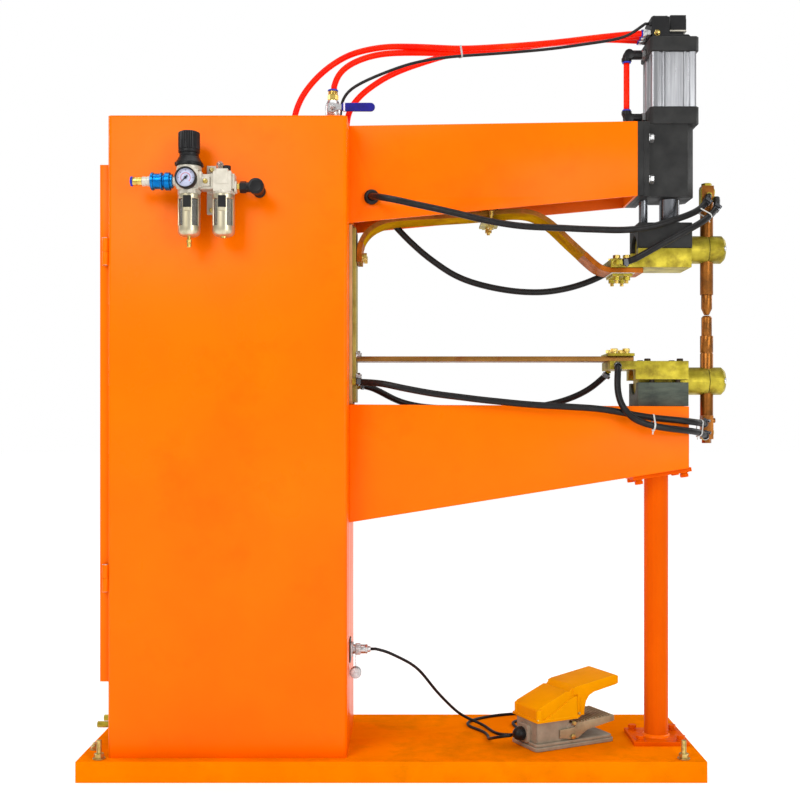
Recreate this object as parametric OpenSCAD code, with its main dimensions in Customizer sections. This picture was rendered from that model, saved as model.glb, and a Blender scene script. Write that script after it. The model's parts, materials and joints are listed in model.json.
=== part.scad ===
// Pneumatic spot welder: a cabinet and two arms on a floor base, with a foot pedal.
// Origin: centre of the base's underside. +X points to the electrodes, +Z is up.

/* [Base] */
// Length of the base along X
base_l = 1200; // [1180:10:1300]
// Width of the base along Y
base_w = 350; // [340:5:400]
// Height of the base's upper face above the floor
base_h = 40; // [36:1:48]
// Thickness of the base's top plate
base_plate_t = 6; // [4:1:8]

/* [Cabinet] */
// Position of the cabinet's left face along X
cabinet_x = -545; // [-547:1:-540]
// Length of the cabinet along X
cabinet_l = 460; // [458:1:462]
// Depth of the cabinet along Y
cabinet_w = 270; // [266:2:290]
// Height of the cabinet's top above the floor
cabinet_top = 1274; // [1273:1:1276]
// Sheet thickness of the cabinet
sheet_t = 3; // [2:0.5:3]
// Depth of the door tray
door_d = 17.5; // [14:0.5:17.5]

/* [Arms] */
// Centre plane of the arms, the column and the head along Y
mid_y = -16; // [-20:1:-14]
// Width of both arms along Y
arm_w = 136; // [130:2:140]
// Wall thickness of both arms
arm_t = 5; // [4:1:8]
// Outer diameter of the support column
column_d = 48.3; // [42.4:0.1:48.3]

/* [Head] */
// Travel of the welding head
stroke = 45; // [20:5:45]
// Position of the electrodes along X
electrode_x = 640; // [638:1:641]
// Diameter of the ram
ram_d = 40; // [32:1:40]
// Diameter of the guide rod
guide_d = 18; // [14:1:18]
// Bore of the air cylinder
bore_d = 80; // [63:1:80]
// Diameter of the electrode holders
holder_d = 26; // [20:1:26]
// Diameter of the round arm bars
bar_d = 56; // [50:1:56]
// Radial clearance of the sliding rods
slide_gap = 0.05; // [0.02:0.01:0.08]

/* [Hoses] */
// Outer diameter of the water hoses
water_d = 13; // [10:1:14]
// Outer diameter of the air hoses
air_d = 12; // [8:1:12]
// Diameter of the valve's cable
cable_d = 6; // [5:1:7]
// Diameter of the pedal's cord
cord_d = 6; // [5:1:7]

/* [Pedal] */
// Length of the pedal's plinth
pedal_l = 188; // [184:1:192]
// Width of the pedal's plinth
pedal_w = 94; // [92:1:98]
// Turn of the pedal on the base
pedal_turn = 26.4; // [24:0.1:28]

/* [Hidden] */
$fn = 64;

paint = [1.0, 0.45, 0.02];
brass = [0.70, 0.60, 0.20];
copper = [0.72, 0.40, 0.22];
black = [0.10, 0.10, 0.10];
silver = [0.75, 0.75, 0.76];

// Cabinet faces and levels.
cab_x1 = cabinet_x + cabinet_l;
cab_y0 = -151;
cab_y1 = cab_y0 + cabinet_w;
bend_r = 8;
fold_d = 24;
door_z0 = 184;
door_z1 = 1182;
door_y0 = -137;
door_y1 = 109;
door_gap = 0.5;
rebate_y = 25;
rebate_z = 14;
hinge_x = cabinet_x - 6;
hinge_y = -145;
hinge_r = 6;
hinge_l = 52;
hinge_pin_r = 3;
hinge_z = [359, 987];
lock_y = 66;
lock_z = 683;
lock_shaft_r = 5;
barb_y = [-60, -9];
barb_z = 81;

// Arms.
arm_y0 = mid_y - arm_w / 2;
arm_y1 = mid_y + arm_w / 2;
arm_root_x = cab_x1 + 8;
upper_arm_x1 = 486;
lower_arm_x1 = 588;
upper_profile = [[cab_x1, 1079], [cab_x1, 1271], [upper_arm_x1, 1280], [upper_arm_x1, 1133]];
lower_profile = [[cab_x1, 486], [cab_x1, 720], [lower_arm_x1, 716], [lower_arm_x1, 594]];
lower_slope = atan(108 / 673);
column_x = 537;
throat_z0 = 721;
throat_z1 = 1078;
throat_face = cab_x1 + 13;

// Head.
plate_x1 = 499;
flange_x1 = 509;
casting_x1 = 604;
casting_z0 = 1135;
casting_z1 = 1280;
ram_x = 564;
guide_x = 511;
guide_top = casting_z1 - 5 - stroke;
cap_w = 98;
tube_w = 90;
low_cap_z1 = 1315;
tube_z1 = 1426;
top_cap_z1 = 1455;
block_top = 1084;
upper_bar_z = 1035;
split_z = 1032;
upper_block_z0 = 994;
lower_bar_z = 768;
bar_end = 674;
slit = 1.6;
grip = 0.05;
cap_x0 = ram_x - cap_w / 2;
valve_x0 = 520;
valve_y0 = -54;
valve_y1 = 12;
port_z = 1467;
tip_z = 901;
tip_gap = 1.5;
lug_t = 17;

// Ball valve on the cabinet's roof.
ball_x = -118;
ball_y = -60;
ball_z = 1308;
lever_y0 = -84;

// Air unit on the cabinet's front.
frl_y = -195;
filter_x = -380;
oiler_x = -315;
inlet_z = 1138;
gauge_r = 20;

// Foot pedal.
pedal_x = 344.5;
pedal_y = -34;
pivot_x = -5;
pivot_z = 21;
pivot_r = 3.5;

// Routes of the hoses and cables, as points on their centrelines.
air_routes = [
    [[-196, -60, 1274], [-196, -60, 1290], [-188, -60, 1318], [-174, -58, 1345],
     [-145, -52, 1381], [-115, -45, 1407], [-85, -41, 1425], [-45, -37, 1437],
     [-9, -34, 1443], [36, -32, 1444], [89, -32, 1442], [138, -32, 1440],
     [219, -34, 1443], [321, -37, 1450], [423, -40, 1461], [480, -42, 1466],
     [496, -42, 1467], [508.8, -42, 1467]],
    [[-116, -60, 1348], [-115, -60, 1362], [-109, -58, 1378], [-98, -54, 1392],
     [-84, -50, 1403], [-53, -44, 1418], [-16, -37, 1428], [36, -28, 1433],
     [88, -23, 1434], [139, -20, 1435], [218, -20, 1441], [319, -20, 1454],
     [421, -20, 1465], [480, -20, 1468], [496, -20, 1467], [508.8, -20, 1467]],
    [[-92, -30, 1274], [-92, -30, 1292], [-88, -30, 1312], [-78, -30, 1330],
     [-65, -30, 1345], [-43, -29, 1363], [-17, -26, 1381], [10, -21, 1396],
     [36, -15, 1408], [70, -9, 1421], [104, -4, 1433], [139, -1, 1441],
     [217, 0, 1450], [319, 0, 1460], [419, 1, 1469], [480, 2, 1468],
     [496, 2, 1467], [508.8, 2, 1467]],
    [[477, -16, 1320], [477, -16, 1350], [477, -16, 1385], [477, -16, 1415]]
];
valve_cable_route = [
    [-104, -40, 1274], [-104, -40, 1290], [-104, -42, 1316], [-98, -46, 1338],
    [-82, -50, 1354], [-44, -56, 1372], [-4, -60, 1387], [36, -62, 1400],
    [76, -60, 1409], [118, -56, 1416], [217, -53, 1424], [319, -53, 1433],
    [398, -53, 1444], [440, -54, 1450], [466, -55, 1456], [484, -55, 1465],
    [498, -53, 1477], [508, -50, 1484], [516.8, -50, 1484]
];
upper_routes = [
    [[-40, -92, 1129], [-39.5, -102, 1128], [-35, -118, 1125], [-24, -133, 1121],
     [-6, -143, 1116], [16, -147, 1111], [44, -144, 1105], [74, -137, 1100],
     [104, -129, 1095], [140, -121, 1088], [172, -116, 1081], [210, -112, 1074],
     [255, -110, 1068], [292, -109, 1066], [329, -108, 1065], [368, -107, 1063],
     [408, -106, 1062], [445, -105, 1061], [479, -104, 1063], [517, -100, 1070],
     [551, -92, 1082], [585, -80, 1094], [612, -64, 1108], [630, -46, 1124],
     [640, -34, 1143]],
    [[0, 30, 1098], [20, 34, 1076], [40, 38, 1057], [65, 41, 1035], [95, 44, 1013],
     [124, 46, 994], [153, 47, 981], [182, 48, 972], [212, 48, 965], [241, 49, 960],
     [268, 50, 957], [295, 50, 956], [323, 51, 957], [350, 51, 961], [381, 51, 968],
     [413, 50, 979], [438, 48, 990], [459, 42, 1003]]
];
head_hose_route = [
    [458, -76, 1002], [467, -78, 1003], [478, -84, 1006], [490, -91, 1012],
    [504, -96, 1020], [525, -99, 1032], [547, -98, 1043], [568, -96, 1055],
    [588, -92, 1066], [610, -84, 1078], [627, -73, 1091], [643, -58, 1104],
    [654, -44, 1119], [656, -32, 1137]
];
lower_routes = [
    [[-79, -67, 765], [-67, -67, 765], [-52, -72, 764], [-36, -83, 763], [-20, -94, 761],
     [-2, -102, 757], [20, -106, 752], [46, -106, 747], [73, -106, 742],
     [100, -106, 738], [126, -106, 735], [173, -106, 729], [212, -106, 725],
     [251, -106, 721], [290, -106, 718], [329, -106, 716], [363, -106, 714],
     [398, -106, 712], [433, -106, 707], [470, -106, 700], [506, -106, 694],
     [545, -105, 690], [578, -99, 687], [604, -84, 684], [621, -62, 682],
     [631, -38, 681]],
    [[-72, 20, 760], [-60, 20, 760], [-46, 26, 757], [-28, 38, 749], [-8, 50, 738],
     [16, 60, 727], [60, 66, 717], [100, 66, 714], [142, 66, 712], [184, 66, 711],
     [226, 66, 712], [268, 66, 714], [310, 66, 718], [352, 64, 727], [390, 61, 741],
     [418, 57, 757], [436, 51, 773], [450, 44, 787]],
    [[448, -70, 800], [448, -82, 792], [445, -91, 776], [443, -98, 750],
     [446, -107, 728], [452, -117, 711], [463, -122, 697], [480, -124, 686],
     [502, -123, 679], [529, -119, 674], [564, -108, 670], [592, -92, 667],
     [612, -74, 664], [626, -54, 660], [632, -38, 655]]
];
pedal_route = [
    [-43, -52, 230], [-33, -52, 230], [-16, -48, 226], [0, -40, 217], [18, -28, 206],
    [38, -12, 192], [56, 2, 175], [72, 15, 153], [84, 27, 135], [98, 40, 116],
    [114, 54, 97], [130, 69, 78], [146, 81, 63], [162, 87, 53], [178, 84, 48],
    [191, 72, 45], [199, 55, 43], [204, 37, 43], [209, 19, 43], [220, 4, 43],
    [237, -2, 43], [254, 4, 43], [265, 19, 43], [267, 39, 43], [260, 61, 43],
    [254, 80, 43], [253, 99, 43], [263, 114, 43], [281, 119, 43], [301, 117, 43],
    [320, 122, 43], [331, 143, 43], [321, 165, 43], [300, 173, 43], [270, 171, 43],
    [238, 162, 43], [208, 147, 43], [182, 128, 43], [165, 109, 43], [157, 88, 43],
    [161, 66, 43], [176, 46, 43], [190, 24, 43], [196, -4, 43], [194, -34, 45],
    [196, -62, 53], [208, -84, 62], [222, -93, 66], [235, -90, 67]
];
strap_route = [
    [-66, 1006], [-66, 1034], [-61, 1052], [-48, 1070], [-30, 1082], [-8, 1089],
    [22, 1093], [65, 1095], [122, 1098], [179, 1102], [220, 1106], [252, 1108],
    [276, 1107], [296, 1100], [314, 1089], [331, 1075], [350, 1056], [370, 1038],
    [390, 1019], [406, 1004], [418, 994], [430, 989], [445, 989], [503, 989]
];
strap_w = 80;
strap_t = 10;

// ---------- shared shapes ----------

// An axis-aligned block between two corners.
module block(x0, x1, y0, y1, z0, z1) {
    translate([x0, y0, z0]) cube([x1 - x0, y1 - y0, z1 - z0]);
}
// Round rods along the three axes, from one end to the other.
module rod_x(x0, x1, y, z, r) {
    translate([x0, y, z]) rotate([0, 90, 0]) cylinder(h = x1 - x0, r = r);
}
module rod_y(x, y0, y1, z, r) {
    translate([x, y1, z]) rotate([90, 0, 0]) cylinder(h = y1 - y0, r = r);
}
module rod_z(x, y, z0, z1, r) {
    translate([x, y, z0]) cylinder(h = z1 - z0, r = r);
}
// A hexagon head or nut along Z, of the given width across its flats.
module hex_z(x, y, z0, z1, flats) {
    translate([x, y, z0]) cylinder(h = z1 - z0, r = flats / sqrt(3), $fn = 6);
}
module hex_x(x0, x1, y, z, flats) {
    translate([x0, y, z]) rotate([0, 90, 0]) cylinder(h = x1 - x0, r = flats / sqrt(3), $fn = 6);
}
// An XZ outline extruded along Y.
module slab_y(points, y0, y1) {
    translate([0, y1, 0]) rotate([90, 0, 0]) linear_extrude(y1 - y0) polygon(points);
}
// A square with round corners.
module round_square(l, w, r) {
    translate([r, 0]) square([l - 2 * r, w]);
    translate([0, r]) square([l, w - 2 * r]);
    for (x = [r, l - r], y = [r, w - r]) translate([x, y]) circle(r);
}
// A sheet of length l folded back at both ends, its face along X at y = 0.
module folded_outline(l, fold, t, r) {
    difference() {
        union() {
            translate([r, 0]) square([l - 2 * r, fold]);
            translate([0, r]) square([l, fold - r]);
            for (x = [r, l - r]) translate([x, r]) circle(r);
        }
        translate([r, t]) square([l - 2 * r, fold]);
        translate([t, r]) square([l - 2 * t, fold]);
        for (x = [r, l - r]) translate([x, r]) circle(r - t);
    }
}

// ---------- tubes along a route ----------

function unit(v) = v / norm(v);
function tangents(p) = [for (i = [0:len(p) - 1]) unit(p[min(i + 1, len(p) - 1)] - p[max(i - 1, 0)])];
function first_side(t) = unit(cross(t, abs(t.y) < 0.9 ? [0, 1, 0] : [1, 0, 0]));
function sides(t, u, i = 0) = i >= len(t) ? [] :
    let (w = unit(u - (u * t[i]) * t[i])) concat([w], sides(t, w, i + 1));
function ring(c, t, u, r, n) = [for (k = [0:n - 1])
    c + r * (cos(360 * k / n) * u + sin(360 * k / n) * cross(t, u))];
module tube(route, d, n = 8) {
    t = tangents(route);
    u = sides(t, first_side(t[0]));
    last = len(route) - 1;
    points = [for (i = [0:last]) each ring(route[i], t[i], u[i], d / 2, n)];
    walls = [for (i = [0:last - 1], k = [0:n - 1], half = [0, 1])
        let (a = i * n + k, b = i * n + (k + 1) % n)
        half == 0 ? [a, a + n, b] : [b, a + n, b + n]];
    caps = [[for (k = [0:n - 1]) k], [for (k = [n - 1:-1:0]) last * n + k]];
    polyhedron(points, concat(walls, caps), convexity = 10);
}
// The outline of a band of thickness t around a line in a plane.
function band(line, t) =
    let (d = tangents(line), side = [for (v = d) [-v.y, v.x]])
    concat([for (i = [0:len(line) - 1]) line[i] + side[i] * t / 2],
           [for (i = [len(line) - 1:-1:0]) line[i] - side[i] * t / 2]);

// ---------- base ----------

anchor_x = 560;
anchor_y = 155;
anchor_hole_r = 6;
rail_w = 40;
rail_h = base_h - base_plate_t;

module anchor_holes() {
    for (x = [-anchor_x, anchor_x], y = [-anchor_y, anchor_y])
        rod_z(x, y, -1, base_h + 1, anchor_hole_r);
}
module base_plate() {
    color(paint) difference() {
        block(-base_l / 2, base_l / 2, -base_w / 2, base_w / 2, rail_h, base_h);
        anchor_holes();
    }
}
module base_rails() {
    wall = 3;
    end_t = 6;
    inner = base_l / 2 - end_t;
    color(paint) {
        for (s = [-1, 1]) difference() {
            block(-inner, inner, min(s * base_w / 2, s * (base_w / 2 - rail_w)),
                  max(s * base_w / 2, s * (base_w / 2 - rail_w)), 0, rail_h);
            block(-inner - 1, inner + 1, min(s * (base_w / 2 - wall), s * (base_w / 2 - rail_w + wall)),
                  max(s * (base_w / 2 - wall), s * (base_w / 2 - rail_w + wall)), wall, rail_h - wall);
            anchor_holes();
        }
        for (s = [-1, 1])
            block(min(s * inner, s * base_l / 2), max(s * inner, s * base_l / 2),
                  -base_w / 2, base_w / 2, 0, rail_h);
        for (x = [-450, -180, 150, 480])
            block(x, x + rail_w, -base_w / 2 + rail_w, base_w / 2 - rail_w, 0, rail_h);
    }
}
module anchor_bolts() {
    rod_r = 5;
    color("goldenrod") {
        for (x = [-anchor_x, anchor_x]) {
            rod_z(x, -anchor_y, 1, base_h + 36, rod_r);
            difference() {
                union() {
                    rod_z(x, -anchor_y, base_h, base_h + 2.5, 12);
                    hex_z(x, -anchor_y, base_h + 2.5, base_h + 11, 17);
                }
                rod_z(x, -anchor_y, base_h - 1, base_h + 12, rod_r - 0.01);
            }
        }
        hex_z(-585, -93, base_h, base_h + 7, 13);
        rod_z(-585, -93, base_h + 7, base_h + 14, 4);
    }
}

// ---------- cabinet ----------

module cabinet_front() {
    color(paint) {
        translate([cabinet_x, cab_y0, base_h])
            linear_extrude(cabinet_top - sheet_t - base_h)
                folded_outline(cabinet_l, fold_d, sheet_t, bend_r);
        for (z = hinge_z) {
            rod_z(hinge_x, hinge_y, z, z + hinge_l / 2 - 0.3, hinge_r);
            block(hinge_x, cabinet_x, hinge_y - 1, hinge_y + 4, z, z + hinge_l / 2 - 0.3);
            rod_z(hinge_x, hinge_y, z + hinge_l / 2 - 1, z + hinge_l, hinge_pin_r);
        }
    }
}
module cabinet_rear() {
    color(paint) translate([cabinet_x, cab_y1, base_h]) mirror([0, 1, 0])
        linear_extrude(cabinet_top - sheet_t - base_h)
            folded_outline(cabinet_l, fold_d, sheet_t, bend_r);
}
module cabinet_side() {
    color(paint) difference() {
        block(cab_x1 - sheet_t, cab_x1, cab_y0 + fold_d, cab_y1 - fold_d, base_h, cabinet_top - sheet_t);
        block(cab_x1 - 10, cab_x1 + 1, mid_y - 50, mid_y + 50, throat_z0 + 20, throat_z1 - 20);
        rod_x(cab_x1 - 10, cab_x1 + 1, -52, 230, 9);
    }
}
module door_frame() {
    color(paint) difference() {
        block(cabinet_x, cabinet_x + sheet_t, cab_y0 + fold_d, cab_y1 - fold_d, base_h, cabinet_top - sheet_t);
        block(cabinet_x - 1, cabinet_x + sheet_t + 1, door_y0 + rebate_y, door_y1 - rebate_y,
              door_z0 + rebate_z, door_z1 - rebate_z);
        for (y = barb_y) rod_x(cabinet_x - 1, cabinet_x + sheet_t + 1, y, barb_z, 8);
    }
}
module cabinet_roof() {
    color(paint) difference() {
        translate([cabinet_x, cab_y0, cabinet_top - sheet_t])
            linear_extrude(sheet_t) round_square(cabinet_l, cabinet_w, bend_r);
        rod_z(ball_x, ball_y, cabinet_top - 10, cabinet_top + 1, 9);
    }
}
module door() {
    tray_t = 2;
    x1 = cabinet_x - door_gap;
    x0 = x1 - door_d;
    color(paint) difference() {
        union() {
            difference() {
                block(x0, x1, door_y0, door_y1, door_z0, door_z1);
                block(x0 + tray_t, x1 + 1, door_y0 + tray_t, door_y1 - tray_t,
                      door_z0 + tray_t, door_z1 - tray_t);
            }
            for (z = hinge_z) {
                rod_z(hinge_x, hinge_y, z + hinge_l / 2 + 0.3, z + hinge_l, hinge_r);
                block(hinge_x - 6, hinge_x, hinge_y + 2, door_y0 + 1, z + hinge_l / 2 + 0.3, z + hinge_l);
            }
        }
        for (z = hinge_z)
            rod_z(hinge_x, hinge_y, z + hinge_l / 2 - 1, z + hinge_l + 1, hinge_pin_r + slide_gap);
        rod_x(x0 - 1, x0 + tray_t + 1, lock_y, lock_z, lock_shaft_r + slide_gap);
    }
}
module door_lock() {
    x0 = cabinet_x - door_gap - door_d;
    cam_x = cabinet_x + sheet_t + 2;
    color(black) {
        rod_x(x0 - 12, x0 - 0.3, lock_y, lock_z, 13);
        block(x0 - 20, x0 - 12, lock_y - 4, lock_y + 4, lock_z - 17, lock_z + 17);
        rod_x(x0 - 1, cam_x + 3, lock_y, lock_z, lock_shaft_r);
        block(cam_x, cam_x + 3, lock_y - 7, lock_y + 7, lock_z - 7, lock_z + 26);
    }
}

// ---------- arms and column ----------

module upper_arm() {
    inner = [[arm_root_x, 1000], [arm_root_x, 1271 - arm_t], [upper_arm_x1 - arm_t, 1280 - arm_t],
             [upper_arm_x1 - arm_t, 1000]];
    color(paint) difference() {
        slab_y(upper_profile, arm_y0, arm_y1);
        slab_y(inner, arm_y0 + arm_t, arm_y1 - arm_t);
        rod_y(-40, arm_y0 - 1, arm_y0 + arm_t + 1, 1129, 9);
    }
}
module lower_arm() {
    inner = [[cab_x1 - 1, 500], [cab_x1 - 1, 720 - arm_t], [lower_arm_x1 - arm_t, 716 - arm_t],
             [lower_arm_x1 - arm_t, 600]];
    color(paint) difference() {
        slab_y(lower_profile, arm_y0, arm_y1);
        slab_y(inner, arm_y0 + arm_t, arm_y1 - arm_t);
    }
}
// Places things on the lower arm's sloping underside, above the column.
module on_slope() {
    translate([column_x, mid_y, 585.7]) rotate([0, -lower_slope, 0]) children();
}
module support_column() {
    wall = 4;
    foot = 110;
    foot_t = 8;
    head_l = 118;
    color(paint) {
        difference() {
            rod_z(column_x, mid_y, base_h + foot_t, 600, column_d / 2);
            rod_z(column_x, mid_y, base_h + foot_t - 1, 601, column_d / 2 - wall);
            on_slope() translate([-100, -100, -8]) cube([200, 200, 100]);
        }
        difference() {
            block(column_x - foot / 2, column_x + foot / 2, mid_y - foot / 2, mid_y + foot / 2,
                  base_h, base_h + foot_t);
            for (sx = [-1, 1], sy = [-1, 1])
                rod_z(column_x + sx * 40.75, mid_y + sy * 40.75, base_h - 1, base_h + foot_t + 1, 5.5);
        }
        on_slope() translate([-head_l / 2, -foot / 2, -8]) cube([head_l, foot, 8]);
    }
}
// A hexagon-head bolt standing on a face, with its washer.
module bolt_head(flats, h, washer_r) {
    cylinder(h = 2, r = washer_r);
    translate([0, 0, 2]) cylinder(h = h, r = flats / sqrt(3), $fn = 6);
}
module frame_bolts() {
    color(paint) {
        for (sx = [-1, 1], sy = [-1, 1])
            translate([column_x + sx * 40.75, mid_y + sy * 40.75, base_h + 8]) bolt_head(15, 8, 9);
        for (sx = [-1, 1], sy = [-1, 1])
            on_slope() translate([sx * 46, sy * 40, -8]) rotate([180, 0, 0]) bolt_head(15, 8, 9);
    }
    color(silver) {
        for (y = [-74, 42], z = [1167, 1249])
            translate([flange_x1, y, z]) rotate([0, 90, 0]) bolt_head(16, 7, 9.5);
        for (y = [mid_y - 38, mid_y + 38], z = [820, 776])
            translate([throat_face, y, z]) rotate([0, 90, 0]) bolt_head(13, 5, 8);
    }
}

// ---------- head, fixed pieces ----------

module head_plate() {
    color(black) block(upper_arm_x1, plate_x1, arm_y0, arm_y1, 1133, 1280);
}
module head_casting() {
    chamfer = 14;
    color(black) difference() {
        union() {
            block(plate_x1, flange_x1, arm_y0, arm_y1, 1133, casting_z1);
            translate([plate_x1, 0, casting_z0]) linear_extrude(casting_z1 - casting_z0)
                polygon([[0, mid_y - 47], [casting_x1 - plate_x1 - chamfer, mid_y - 47],
                         [casting_x1 - plate_x1, mid_y - 47 + chamfer],
                         [casting_x1 - plate_x1, mid_y + 47 - chamfer],
                         [casting_x1 - plate_x1 - chamfer, mid_y + 47], [0, mid_y + 47]]);
        }
        rod_z(ram_x, mid_y, casting_z0 - 5, casting_z1 + 1, ram_d / 2 + slide_gap);
        rod_z(guide_x, mid_y, casting_z0 - 5, casting_z1 - 1, guide_d / 2 + slide_gap);
    }
}
// A square centred on the ram, with cut corners.
module cap_outline(w, cut) {
    h = w / 2;
    polygon([[-h + cut, -h], [h - cut, -h], [h, -h + cut], [h, h - cut],
             [h - cut, h], [-h + cut, h], [-h, h - cut], [-h, -h + cut]]);
}
module cylinder_caps() {
    color(black) {
        difference() {
            translate([ram_x, mid_y, casting_z1]) linear_extrude(low_cap_z1 - casting_z1) cap_outline(cap_w, 6);
            rod_z(ram_x, mid_y, casting_z1 - 1, low_cap_z1 + 1, ram_d / 2 + slide_gap);
        }
        translate([ram_x, mid_y, tube_z1]) linear_extrude(top_cap_z1 - tube_z1) cap_outline(cap_w, 6);
    }
}
module cylinder_tube() {
    groove = 7;
    h = tube_w / 2;
    color(silver) translate([ram_x, mid_y, low_cap_z1]) linear_extrude(tube_z1 - low_cap_z1) difference() {
        cap_outline(tube_w, 5);
        circle(bore_d / 2);
        for (a = [0:90:270], s = [-28, 28])
            rotate(a) translate([s - groove / 2, h - 3]) square([groove, 4]);
    }
}
module solenoid_valve() {
    color(black) {
        block(522, 597, valve_y0, valve_y1, top_cap_z1, 1461);
        block(valve_x0, 556, valve_y0, valve_y1, 1461, 1498);
        block(556, 590, mid_y - 16, mid_y + 16, 1461, 1475);
        block(562, 594, mid_y - 18, mid_y + 18, 1475, 1508);
    }
}
module air_fittings() {
    color(silver) {
        for (y = [-42, -20, 2]) rod_x(509, valve_x0, y, port_z, 6.5);
        rod_x(517, valve_x0, -50, 1484, 4.5);
        for (z = [1303, 1432]) {
            rod_y(477, mid_y - 9, mid_y + 9, z, 9);
            rod_x(477, cap_x0, mid_y, z, 6);
        }
        rod_z(477, mid_y, 1415, 1432, 8);
        rod_z(477, mid_y, 1303, 1320, 8);
    }
}

// ---------- air and cable ----------

module air_hoses() {
    color("red") for (r = air_routes) tube(r, air_d);
    color(black) tube(valve_cable_route, cable_d);
}
module air_valve_body() {
    color(brass) {
        rod_z(ball_x, ball_y, cabinet_top - sheet_t - 12, cabinet_top, 8);
        hex_z(ball_x, ball_y, cabinet_top, 1290, 26);
        rod_z(ball_x, ball_y, 1290, 1326, 15);
        hex_z(ball_x, ball_y, 1326, 1336, 22);
        rod_z(ball_x, ball_y, 1336, 1347, 8);
        rod_y(ball_x, lever_y0 - 8, ball_y, ball_z, 4);
        rod_y(ball_x, lever_y0 + 3.3, ball_y, ball_z, 9);
    }
}
module valve_lever() {
    color("navy") difference() {
        union() {
            rod_y(ball_x, lever_y0, lever_y0 + 3, ball_z, 10);
            block(ball_x, ball_x + 20, lever_y0, lever_y0 + 3, ball_z - 5, ball_z + 5);
            block(ball_x + 18, ball_x + 85, lever_y0 - 1, lever_y0 + 4, ball_z - 9, ball_z + 9);
        }
        rod_y(ball_x, lever_y0 - 1, lever_y0 + 5, ball_z, 4.05);
    }
}

// ---------- throat and transformer ----------

module throat_plate() {
    color([0.55, 0.50, 0.15]) {
        block(cab_x1, cab_x1 + 6, mid_y - 56, mid_y + 56, throat_z0, throat_z1);
        block(cab_x1 + 6, throat_face, mid_y - 44, mid_y + 44, throat_z0 + 4, throat_z1 - 4);
    }
}
core_x0 = -420;
core_x1 = -200;
core_y0 = -86;
core_y1 = 54;
core_z0 = 780;
core_z1 = 1060;
module transformer_core() {
    limb = 40;
    color("dimgray") {
        difference() {
            block(core_x0, core_x1, core_y0, core_y1, core_z0, core_z1);
            for (x = [core_x0 + limb, core_x1 - limb - 50])
                block(x, x + 50, core_y0 - 1, core_y1 + 1, core_z0 + limb, core_z1 - limb);
        }
        for (x = [core_x0, core_x1 - 40]) block(x, x + 40, core_y0, core_y1, base_h, core_z0);
    }
}
module transformer_coils() {
    gap = 2;
    x0 = core_x0 + 90;
    x1 = core_x1 - 90;
    color(copper) difference() {
        block(core_x0 + 42, core_x1 - 42, core_y0 - 40, core_y1 + 40, core_z0 + 46, core_z1 - 46);
        block(x0 - gap, x1 + gap, core_y0 - gap, core_y1 + gap, core_z0, core_z1);
    }
}
module secondary_busbars() {
    color(copper) {
        block(core_x1 + 2, cab_x1 - 3, mid_y - 40, mid_y + 40, 1024, 1036);
        block(cab_x1 - 15, cab_x1 - 3, mid_y - 40, mid_y + 40, 990, 1024);
        block(core_x1 + 2, cab_x1 - 3, mid_y - 40, mid_y + 40, 800, 812);
        block(cab_x1 - 15, cab_x1 - 3, mid_y - 40, mid_y + 40, 765, 800);
        for (z = [812, 990]) block(core_x1 + 2, core_x1 + 14, mid_y - 40, mid_y + 40, z, z + 34);
    }
}
module thyristor_unit() {
    color(silver) {
        block(-400, -240, 90, 98, 500, 680);
        for (i = [0:7]) block(-396 + 20 * i, -390 + 20 * i, 60, 90, 500, 680);
    }
    color(black) block(-380, -260, 98, cab_y1 - sheet_t, 540, 640);
}
module control_box() {
    color("lightgray") block(-420, -240, 66, cab_y1 - sheet_t, 240, 420);
}
module water_manifold() {
    color(brass) {
        block(-530, -500, -90, 20, base_h, 102);
        for (y = barb_y) {
            rod_x(-588, -560, y, barb_z, 6.25);
            hex_x(-560, -552, y, barb_z, 17);
            rod_x(-552, -530, y, barb_z, 7.5);
        }
    }
}

// ---------- lower electrode set ----------

block_y0 = mid_y - 48;
block_y1 = mid_y + 48;
module lower_conductor() {
    color(copper) block(throat_face, 486, mid_y - 30, mid_y + 30, 807, 817);
}
module lower_insulator() {
    color([0.20, 0.22, 0.19]) difference() {
        block(491, 592, mid_y - 47, mid_y + 47, 716.7, 764);
        rod_x(480, 600, mid_y, lower_bar_z, bar_d / 2 + grip);
    }
}
module lower_block() {
    color(brass) difference() {
        union() {
            block(486, 592, block_y0, block_y1, 770, 807);
            block(435, 486, block_y0, block_y1, 807 - lug_t, 807);
        }
        rod_x(480, 600, mid_y, lower_bar_z, bar_d / 2 + grip);
    }
}
// A round bar along X that grips an electrode holder at its split end.
module split_bar(x0, z) {
    color(brass) difference() {
        union() {
            rod_x(x0, electrode_x - slit / 2, mid_y, z, bar_d / 2);
            rod_x(electrode_x + slit / 2, bar_end - 6, mid_y, z, bar_d / 2);
            translate([bar_end - 6, mid_y, z]) rotate([0, 90, 0])
                cylinder(h = 6, r1 = bar_d / 2, r2 = bar_d / 2 - 6);
        }
        rod_z(electrode_x, mid_y, z - 40, z + 40, holder_d / 2 + grip);
    }
}
module lower_bar() {
    split_bar(496, lower_bar_z);
}
module lower_holder() {
    color(copper) {
        difference() {
            rod_z(electrode_x, mid_y, 698, 860, holder_d / 2);
            difference() {
                rod_z(electrode_x, mid_y, 824, 826, holder_d);
                rod_z(electrode_x, mid_y, 823, 827, holder_d / 2 - 1);
            }
        }
        block(electrode_x - 11, electrode_x + 11, mid_y - 12, mid_y + 12, 650, 698);
        hex_z(electrode_x, mid_y, 642, 650, 17);
        rod_x(electrode_x + 11, electrode_x + 17, mid_y, 688, 5);
    }
}
module lower_tip() {
    color(copper) {
        rod_z(electrode_x, mid_y, 860, tip_z - 4, 10.5);
        translate([electrode_x, mid_y, tip_z - 4]) cylinder(h = 4, r1 = 10.5, r2 = 7);
    }
}
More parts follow.
